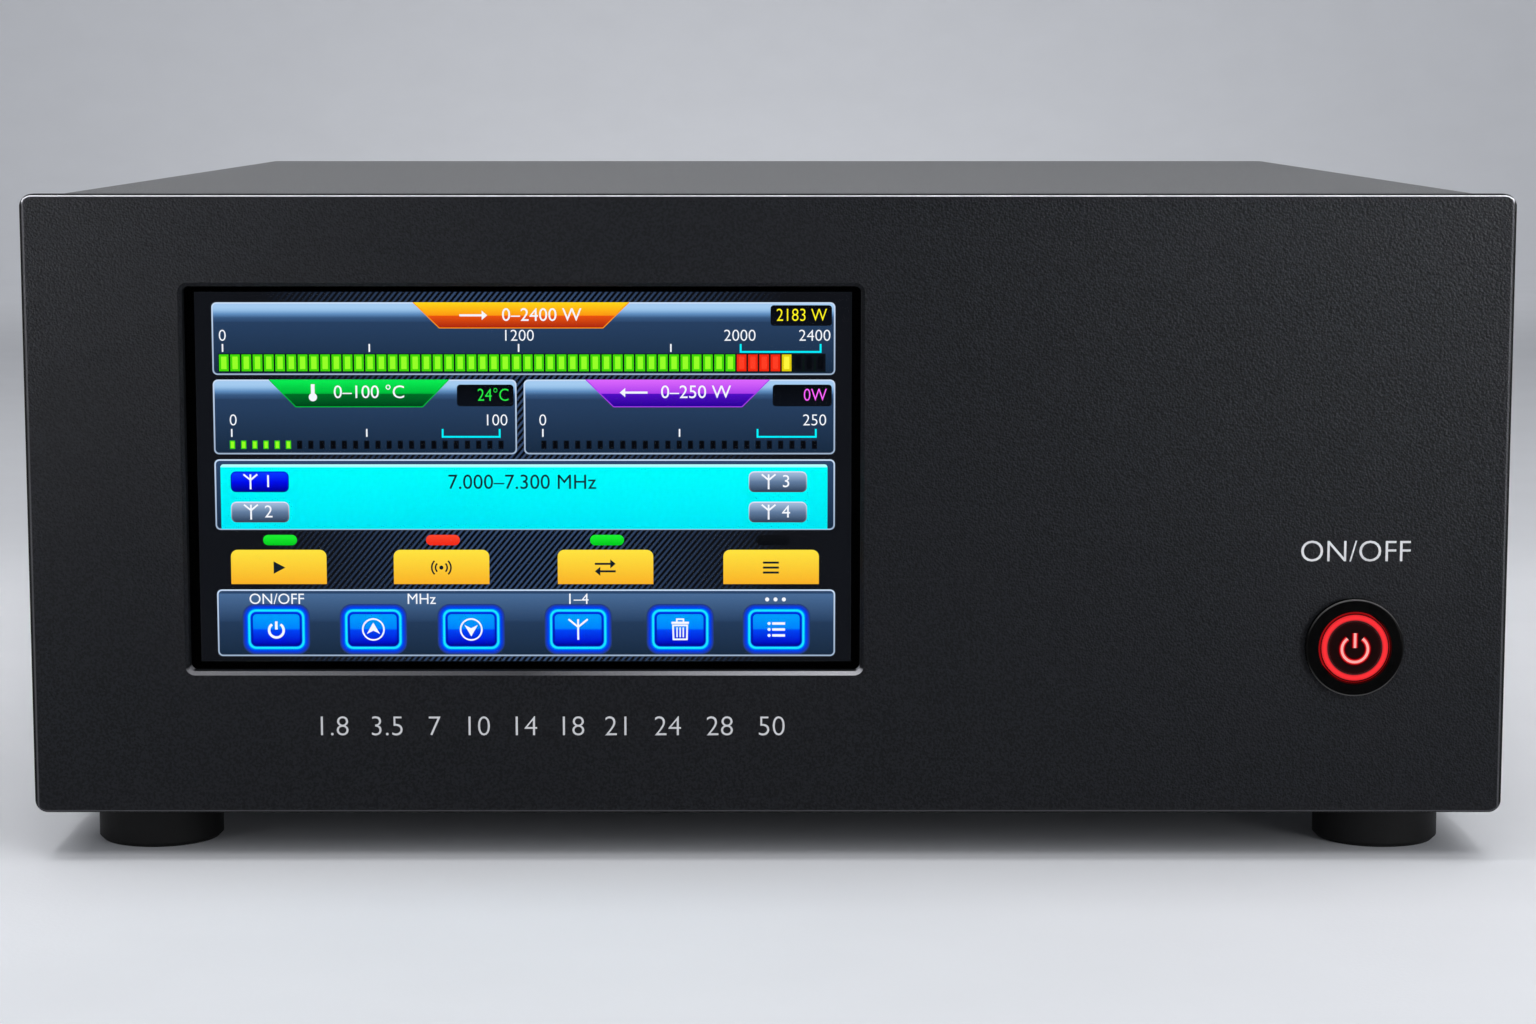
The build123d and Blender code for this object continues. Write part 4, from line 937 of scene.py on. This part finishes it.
# Headings of the meters: left, right, top, bottom, slope and tones; their ranges, as words and middle
orange_tab = (rgb(255, 214, 26), rgb(255, 150, 18), rgb(236, 84, 16), rgb(164, 32, 16))
green_tab = (rgb(10, 236, 84), rgb(0, 186, 56), rgb(0, 112, 38), rgb(0, 62, 24))
purple_tab = (rgb(222, 104, 255), rgb(168, 60, 236), rgb(82, 14, 196), rgb(34, 0, 150))
meter_tabs = (
    (51.9, 103.2, 2.5, 8.6, 6.2, orange_tab),
    (17.4, 60.2, 20.9, 27.4, 6.3, green_tab),
    (92.8, 136.6, 20.9, 27.4, 6.6, purple_tab),
)
tab_split = 0.52
tab_edge = 0.22
tab_text = 3.0
tab_arrow = 6.6
forward_sign_at = (66.2, 5.6)
forward_range = ("0–2400 W", 82.4, 5.6)
heat_sign_at = (27.8, 23.9)
heat_range = ("0–100 °C", 41.2, 24.0)
return_sign_at = (104.2, 24.0)
return_range = ("0–250 W", 119.0, 24.0)

# Read-outs: window, words and colour
read_outs = (
    ((136.8, 3.2, 151.4, 8.1), "2183 W", rgb(255, 244, 30)),
    ((62.1, 22.1, 75.6, 27.3), "24°C", rgb(40, 235, 70)),
    ((137.3, 22.1, 151.4, 27.3), "0W", rgb(250, 100, 250)),
)
read_out_tones = (black, rgb(12, 16, 24))
read_out_corner = 0.8
read_out_margin = 1.2
read_out_text = 2.9
read_out_squeeze = 0.86
digit_thin = 0.03

# Scales: digits as words and middle, ticks as top and places, brackets as left, right and top
scale_digits = (
    ("0", 6.5, 10.5), ("1200", 76.8, 10.5), ("2000", 129.5, 10.5), ("2400", 147.3, 10.5),
    ("0", 8.7, 30.7), ("100", 71.3, 30.7), ("0", 82.5, 30.7), ("250", 147.3, 30.7),
)
digit_height = 2.65
scale_ticks = ((12.4, (6.5, 41.4, 76.9, 113.1)), (32.7, (8.3, 40.5, 82.5, 115.1)))
scale_brackets = ((129.7, 148.7, 12.4), (58.6, 72.2, 32.7), (133.7, 147.6, 32.7))
tick_width = 0.36
tick_height = 1.9
bracket_width = 0.45

# Bars: left, top, bottom, pitch, width and rim of a segment, and the segments' tones
bar_bed = (5.4, 14.7, 149.9, 19.1)
bar_bed_tone = rgb(10, 22, 20)
forward_tones = [lit_green] * 46 + [lit_red] * 4 + [lit_yellow] + [unlit] * 3
meter_bars = (
    (5.6, 14.9, 18.9, 2.678, 2.28, 0.5, forward_tones),
    (7.8, 35.5, 37.5, 2.67, 1.25, 0.25, [lit_green] * 6 + [unlit] * 19),
    (82.1, 35.5, 37.5, 2.69, 1.25, 0.25, [unlit] * 25),
)

# Band window, and its selectors as number, left, top, tones of the rim and tones of the face
band_window = (5.4, 41.2, 150.4, 56.8)
window_lip = 2.0
window_corner = 0.7
lip_tones = (rgb(190, 255, 255), rgb(0, 250, 255))
window_tones = (rgb(0, 255, 255), rgb(0, 232, 248))
band_words = ("7.000–7.300 MHz", 77.4, 45.6)
band_text = 3.4
chosen = ((rgb(0, 20, 220), rgb(0, 0, 120)), (rgb(8, 56, 255), rgb(0, 10, 240), rgb(0, 0, 150)))
idle = (
    (rgb(226, 222, 242), rgb(62, 54, 66)),
    (rgb(164, 190, 222), rgb(98, 124, 158), rgb(46, 64, 88)),
)
selectors = (
    ("1", 7.8, 42.9, *chosen), ("2", 7.8, 50.2, *idle),
    ("3", 131.6, 42.9, *idle), ("4", 131.6, 50.2, *idle),
)
chip_width = 13.9
chip_height = 5.0
chip_corner = 1.3
chip_rim = 0.25
chip_face_corner = 1.1
chip_aerial_left = 2.2
chip_aerial_scale = 0.36
chip_aerial_line = 0.42
chip_number_right = 2.0
chip_text = 2.9

# State lamps and the tabs below them, as left, top, right and bottom about the middle of each
lamp_green = (rgb(30, 240, 50), rgb(0, 205, 30))
lamp_red = (rgb(255, 70, 44), rgb(240, 40, 24))
lamp_off = (rgb(14, 16, 20), rgb(10, 12, 16))
lamp_rect = (-3.6, 58.2, 4.5, 60.7)
lamp_corner = 1.2
state_rect = (-11.4, 61.8, 11.5, 70.1)
state_corner = 1.6
state_tones = (rgb(255, 228, 64), rgb(250, 178, 40))
state_sign_y = 66.1

# Touch keys: their middles, and their outlines from outside in, as inset and corner
touch_keys = (18.1, 41.4, 64.9, 90.6, 115.1, 138.2)
touch_width = 13.6
touch_top = 76.2
touch_bottom = 85.9
touch_outlines = ((-1.3, 3.0), (-0.4, 2.2), (0.0, 1.9), (0.35, 1.6), (0.7, 1.35), (1.2, 0.9))
touch_sign_y = 81.1
standby_drop = 0.2
standby_r = 1.75
standby_line = 0.62
touch_aerial_scale = 0.5
touch_aerial_line = 0.45
key_strip = (4.4, 72.4, 151.9, 79.2)
key_strip_tones = (rgb(73, 107, 150), rgb(40, 64, 97))
key_words = (("ON/OFF", 18.3), ("MHz", 53.0), ("1–4", 90.5))
key_words_y = 73.8
key_text = 2.5
key_dots = (136.0, 138.0, 140.0)
key_dot_r = 0.5


def blue_panel(art, rect, shine=shine_steps):
    """A glossy blue panel: pale rim, a bright band along the top that fades into a dark body."""
    art.shape(rounded(*rect, panel_corner), panel_level, pale_blue, steel_blue)
    left, top, right, bottom = inset(rect, panel_rim)
    art.shape(rounded(left, top, right, bottom, body_corner), panel_level + 1, navy, deep_navy)
    for (start, above), (end, below) in zip(shine, shine[1:]):
        strip = box(left, top + start, right, top + end)
        if not start:
            strip = upper_corners(left, top, right, end)
        art.shape(strip, panel_level + 2, above, below)


def slanted_tab(art, left, right, top, bottom, slope, tones):
    """A trapezoid heading that hangs from a panel's rim, in two pairs of tones."""
    split = (bottom - top) * tab_split
    run = slope * split / (bottom - top)
    fold = [(right - run, top + split), (left + run, top + split)]
    foot = [(right - slope, bottom), (left + slope, bottom)]
    art.shape([(left, top), (right, top)] + fold, mark_level, *tones[:2])
    art.shape(fold[::-1] + foot, mark_level, *tones[2:])
    edge = [(left, top)] + foot[::-1] + [(right, top)]
    art.stroke(edge, tab_edge, mark_level + 0.5, tones[1])


def read_out(art, rect, words, colour):
    """A dark window with a lit value at its right."""
    art.shape(rounded(*rect, read_out_corner), mark_level, *read_out_tones)
    _, top, right, bottom = rect
    art.text(
        words, right - read_out_margin, (top + bottom) / 2, read_out_text, mark_level + 1, colour,
        thin=digit_thin, squeeze=read_out_squeeze, right=True,
    )


def scale_tick(art, x, top):
    """White tick of a meter's scale."""
    rect = (x - tick_width / 2, top, x + tick_width / 2, top + tick_height)
    art.shape(box(*rect), mark_level, white)


def scale_bracket(art, left, right, top):
    """Cyan bracket that marks the end of a scale."""
    bottom = top + tick_height
    path = [(left, top), (left, bottom), (right, bottom), (right, top)]
    art.stroke(path, bracket_width, mark_level, cyan)


def segment_bar(art, left, top, bottom, pitch, width, rim, tones):
    """A row of meter segments, each with a lighter middle."""
    for i, (edge, face) in enumerate(tones):
        rect = (left + i * pitch, top, left + i * pitch + width, bottom)
        art.shape(box(*rect), mark_level, edge)
        art.shape(box(*inset(rect, rim)), mark_level + 1, face)


def chip(art, rect, rim, tones, number):
    """A rounded selector with an aerial sign and a number."""
    art.shape(rounded(*rect, chip_corner), mark_level, *rim)
    left, top, right, bottom = inset(rect, chip_rim)
    across, mid = (left + right) / 2, (top + bottom) / 2
    upper = upper_corners(left, top, right, chip_face_corner)
    lower = lower_corners(left, right, bottom, chip_face_corner)
    art.shape(upper + [(right, mid), (left, mid)], mark_level + 1, *tones[:2])
    art.shape([(left, mid), (right, mid)] + lower, mark_level + 1, *tones[1:])
    level = mark_level + 2
    aerial(art, across - chip_aerial_left, mid, level, chip_aerial_scale, chip_aerial_line)
    art.text(number, across + chip_number_right, mid, chip_text, level, white)


def glow_key(art, x):
    """A blue key with a bright cyan rim and light spilling round it."""
    rect = (x - touch_width / 2, touch_top, x + touch_width / 2, touch_bottom)
    halo, spill, rim, line, body, face = (
        rounded(*inset(rect, by), corner) for by, corner in touch_outlines
    )
    art.band(halo, spill, mark_level, rgb(38, 58, 100), rgb(0, 60, 235))
    art.band(spill, rim, mark_level, rgb(0, 60, 235), rgb(0, 120, 255))
    art.band(rim, line, mark_level + 1, rgb(0, 190, 255), rgb(30, 245, 255))
    art.band(line, body, mark_level + 1, rgb(30, 245, 255), rgb(0, 90, 255))
    art.shape(body, mark_level + 1, rgb(0, 40, 225), rgb(0, 8, 150))
    art.shape(face, mark_level + 2, rgb(0, 165, 255), rgb(0, 70, 250))
    face_inset, corner = touch_outlines[-1]
    left, _, right, bottom = inset(rect, face_inset)
    lower_half = box(left, (touch_top + touch_bottom) / 2, right, bottom - corner)
    art.shape(lower_half, mark_level + 3, rgb(0, 70, 250), rgb(0, 22, 215))
    foot = lower_corners(left, right, bottom, corner)
    art.shape(foot, mark_level + 3, rgb(0, 22, 215), rgb(0, 10, 180))


# Signs, drawn about a middle

def arrow(art, x, y, level, colour, length, way):
    """A level arrow that points right (1) or left (-1)."""
    shaft, head, half = 0.5, 1.3, 1.1
    tip = way * length / 2
    neck = tip - way * head
    art.stroke(about(x, y, (-tip, 0), (neck, 0)), shaft, level, colour)
    art.shape(about(x, y, (tip, 0), (neck, -half), (neck, half)), level, colour)


def thermometer(art, x, y, level, colour):
    """A bulb thermometer, standing."""
    tube, bulb_drop, bulb_r = 0.9, 1.2, 1.0
    art.stroke(about(x, y, (0, -1.9), (0, 0.6)), tube, level, colour)
    art.shape(disc(x, y + bulb_drop, bulb_r, 20), level, colour)


def aerial(art, x, y, level, scale, line):
    """An aerial: mast with two raised arms."""
    top, reach, fork = 5.0 * scale, 4.6 * scale, 1.2 * scale
    art.stroke(about(x, y, (0, -top), (0, top)), line, level, white)
    arms = about(x, y, (-reach, -top), (0, -fork), (reach, -top))
    art.stroke(arms, line, level + 0.5, white)


def power_sign(art, x, y, level, colour, radius, line):
    """The usual stand-by sign: an open ring with a bar through its gap."""
    bar_top, bar_foot = 1.25 * radius, 0.1 * radius
    art.stroke(arc(x, y, radius, -55, 235, 28), line, level, colour)
    art.stroke(about(x, y, (0, -bar_top), (0, -bar_foot)), line, level, colour)


def chevron_sign(art, x, y, level, way):
    """A ring with an arrowhead that points up (1) or down (-1)."""
    radius, line = 2.55, 0.38
    art.stroke(disc(x, y, radius, 32), line, level, white, closed=True)
    head = about(x, y, (0, -way * 1.7), (1.6, way * 1.1), (0, way * 0.3), (-1.6, way * 1.1))
    art.shape(head, level, white)


def bin_sign(art, x, y, level):
    """A lidded bin with three slats."""
    handle_line, tub_line, half_slat = 0.38, 0.42, 0.17
    handle = about(x, y, (-0.8, -1.9), (-0.8, -2.5), (0.8, -2.5), (0.8, -1.9))
    tub = about(x, y, (-1.7, -1.0), (-1.6, 2.4), (1.6, 2.4), (1.7, -1.0))
    art.shape(box(x - 2.1, y - 1.9, x + 2.1, y - 1.35), level, white)
    art.stroke(handle, handle_line, level, white)
    art.stroke(tub, tub_line, level, white, closed=True)
    for dx in (-0.75, 0.0, 0.75):
        art.shape(box(x + dx - half_slat, y - 0.5, x + dx + half_slat, y + 1.9), level, white)


def list_sign(art, x, y, level):
    """Three lines, each with its dot."""
    half_line, dot_left, dot_r = 0.3, 1.75, 0.38
    for dy in (-1.45, 0.0, 1.45):
        line = box(x - 1.0, y + dy - half_line, x + 2.1, y + dy + half_line)
        art.shape(line, level, white)
        art.shape(disc(x - dot_left, y + dy, dot_r, 12), level, white)


def play_sign(art, x, y, level, colour):
    """A triangle that points right."""
    art.shape(about(x, y, (-1.2, -1.5), (1.6, 0), (-1.2, 1.5)), level, colour)


def waves_sign(art, x, y, level, colour):
    """A dot between two pairs of arcs."""
    dot_r, line = 0.5, 0.4
    art.shape(disc(x, y, dot_r, 14), level, colour)
    for radius in (1.4, 2.3):
        for start in (-45, 135):
            art.stroke(arc(x, y, radius, start, start + 90, 10), line, level, colour)


def exchange_sign(art, x, y, level, colour):
    """Two arrows, one each way."""
    length = 5.0
    for dy, way in ((-0.9, 1), (0.9, -1)):
        arrow(art, x, y + dy, level, colour, length, way)


def lines_sign(art, x, y, level, colour):
    """Three short level lines."""
    reach, half_line = 1.9, 0.25
    for dy in (-1.2, 0.0, 1.2):
        line = box(x - reach, y + dy - half_line, x + reach, y + dy + half_line)
        art.shape(line, level, colour)


# States: middle across, tones of the lamp and sign on the tab
states = (
    (18.9, lamp_green, play_sign), (57.9, lamp_red, waves_sign),
    (97.2, lamp_green, exchange_sign), (136.9, lamp_off, lines_sign),
)


def draw_ground():
    """The dark striped ground of the picture."""
    art = Drawing(screen_corner)
    art.shape(box(0, 0, screen_width, screen_height), ground_level, black)
    return art.piece("display_ground", "case", "display", backdrop_light)


def draw_meters():
    """The three meters: power out, heat and power returned."""
    art = Drawing(screen_corner)
    for rect in meter_panels:
        blue_panel(art, rect)
    for tab in meter_tabs:
        slanted_tab(art, *tab)
    level = mark_level + 1
    arrow(art, *forward_sign_at, level, white, tab_arrow, 1)
    art.text(*forward_range, tab_text, level, white)
    thermometer(art, *heat_sign_at, level, white)
    art.text(*heat_range, tab_text, level, white)
    arrow(art, *return_sign_at, level, white, tab_arrow, -1)
    art.text(*return_range, tab_text, level, white)
    for values in read_outs:
        read_out(art, *values)
    for digits in scale_digits:
        art.text(*digits, digit_height, mark_level, white, thin=digit_thin)
    for top, places in scale_ticks:
        for x in places:
            scale_tick(art, x, top)
    for bracket in scale_brackets:
        scale_bracket(art, *bracket)
    art.shape(box(*bar_bed), mark_level - 0.5, bar_bed_tone)
    for bar in meter_bars:
        segment_bar(art, *bar)
    return art.piece("display_meters", "case", "display", picture_light)


def draw_state(art, x, lamp_tones, sign):
    """A state's lamp, and the yellow tab below it with its sign."""
    left, top, right, bottom = lamp_rect
    lamp = rounded(x + left, top, x + right, bottom, lamp_corner)
    art.shape(lamp, lamp_level, *lamp_tones)
    left, top, right, bottom = state_rect
    tab = upper_corners(x + left, top, x + right, state_corner)
    art.shape(tab + [(x + right, bottom), (x + left, bottom)], lamp_level, *state_tones)
    sign(art, x, state_sign_y, lamp_level + 1, ink)


def draw_band():
    """The cyan band read-out with its four aerial selectors, the state lamps and the tabs."""
    art = Drawing(screen_corner)
    blue_panel(art, band_panel, ())
    left, top, right, bottom = band_window
    lip = rounded(left, top, right, top + window_lip, window_corner)
    art.shape(lip, panel_level + 2, *lip_tones)
    art.shape(box(left, top + window_corner, right, bottom), panel_level + 2.2, *window_tones)
    for number, x, y, rim, tones in selectors:
        chip(art, (x, y, x + chip_width, y + chip_height), rim, tones, number)
    art.text(*band_words, band_text, mark_level, ink)
    for state in states:
        draw_state(art, *state)
    return art.piece("display_band", "case", "display", picture_light)


def draw_keys():
    """The row of glowing touch keys."""
    art = Drawing(screen_corner)
    blue_panel(art, key_panel, ())
    art.shape(box(*key_strip), panel_level + 2, *key_strip_tones)
    for x in touch_keys:
        glow_key(art, x)
    standby, up, down, mast, clear, menu = touch_keys
    y, level = touch_sign_y, sign_level
    power_sign(art, standby, y + standby_drop, level, white, standby_r, standby_line)
    chevron_sign(art, up, y, level, 1)
    chevron_sign(art, down, y, level, -1)
    aerial(art, mast, y, level, touch_aerial_scale, touch_aerial_line)
    bin_sign(art, clear, y, level)
    list_sign(art, menu, y, level)
    for words, x in key_words:
        art.text(words, x, key_words_y, key_text, level, white)
    for x in key_dots:
        art.shape(disc(x, key_words_y, key_dot_r, 12), level, white)
    return art.piece("display_keys", "case", "display", picture_light)


draw_ground()
draw_meters()
draw_band()
draw_keys()

# Printed lettering on the front panel and the sign on the button, in millimetres
print_lift = 0.01
print_left = -107.7
print_right = 4.0
print_height = 4.7
print_thin = 0.09
print_drop = 127.1
band_numbers = ("1.8", "3.5", "7", "10", "14", "18", "21", "24", "28", "50")
switch_height = 5.0
switch_thin = 0.07
switch_drop = 84.9
button_sign_r = 3.1
button_sign_drop = 0.35
button_sign_glow = (
    (1.9, rgb(42, 2, 5)), (1.5, rgb(105, 4, 10)), (1.15, rgb(222, 22, 30)), (0.6, rgb(255, 178, 172)),
)


def draw_print():
    """A row of band numbers under the display, and the switch's words over the button."""
    art = Drawing((0, front_y - print_lift * MM, panel_high.z))
    spans = [text_span(number, print_height) for number in band_numbers]
    gap = (print_right - print_left - sum(spans)) / (len(spans) - 1)
    left = print_left
    for number, span in zip(band_numbers, spans):
        art.text(number, left + span / 2, print_drop, print_height, 1, white, thin=print_thin)
        left += span + gap
    art.text("ON/OFF", button_mid.x / MM, switch_drop, switch_height, 1, white, thin=switch_thin)
    return art.piece("front_print", "case", "panel_coat", print_ink)


def draw_button_sign():
    """Lit stand-by sign in the middle of the button: a pale core in a red halo."""
    art = Drawing((button_mid.x, cap_low.y - print_lift * MM, button_mid.z))
    for level, (line, colour) in enumerate(button_sign_glow, 1):
        power_sign(art, 0, button_sign_drop, level, colour, button_sign_r, line)
    return art.piece("button_sign", "power_button", "red_light", picture_light)


draw_print()
draw_button_sign()


# Studio, lamps and camera

def studio_floor():
    """A pale round sweep: flat floor that turns up into a low wall."""
    bm = bmesh.new()
    rings = [(0, 0), (floor_radius / 2, 0), (floor_radius, 0)]
    for i in range(1, sweep_steps + 1):
        turn = pi / 2 * i / sweep_steps
        rings.append((floor_radius + sweep_radius * sin(turn), sweep_radius * (1 - cos(turn))))
    rings.append((floor_radius + sweep_radius, wall_height))
    lathe(bm, rings, floor_segments)
    mesh = solid_mesh("studio_floor", bm, floor_crease)
    mesh.flip_normals()
    paper = surface(
        "studio_paper", rgb(*floor_tone), 0.8, spread=0.012, spot=50 * MM, grain=1.2 * MM,
        depth=0.04 * MM,
    )
    mesh.materials.append(paper)
    floor = put("studio_floor", mesh)


def add_lamp(name, at, to, size, power, spread=180.0):
    """A soft rectangular lamp aimed at a point; a narrow spread makes it a beam."""
    light = bpy.data.lights.new(name, "AREA")
    light.shape = "RECTANGLE"
    light.size, light.size_y = size
    light.energy = power
    light.spread = radians(spread)
    lamp = put(name, light)
    lamp.location = at
    lamp.rotation_mode = "QUATERNION"
    lamp.rotation_quaternion = (Vector(to) - Vector(at)).to_track_quat("-Z", "Y")
    lamp.visible_camera = False


def add_camera():
    """Camera at the photograph's station: a little over the panel's top, looking slightly down."""
    data = bpy.data.cameras.new("camera")
    data.lens = camera_lens
    data.sensor_width = camera_sensor
    camera = put("camera", data)
    camera.location = (0, front_y - camera_distance, panel_high.z + camera_rise)
    camera.rotation_euler = (radians(90 - camera_pitch), 0, 0)
    scene.camera = camera


def light_world():
    """Even soft light from all round."""
    world = bpy.data.worlds.new("studio_light")
    world.use_nodes = True
    background = world.node_tree.nodes["Background"]
    background.inputs["Color"].default_value = world_tint
    background.inputs["Strength"].default_value = world_strength
    scene.world = world


studio_floor()
for lamp_name, lamp_values in lamps.items():
    add_lamp(lamp_name, **lamp_values)
add_camera()
light_world()
scene.view_settings.view_transform = "Standard"
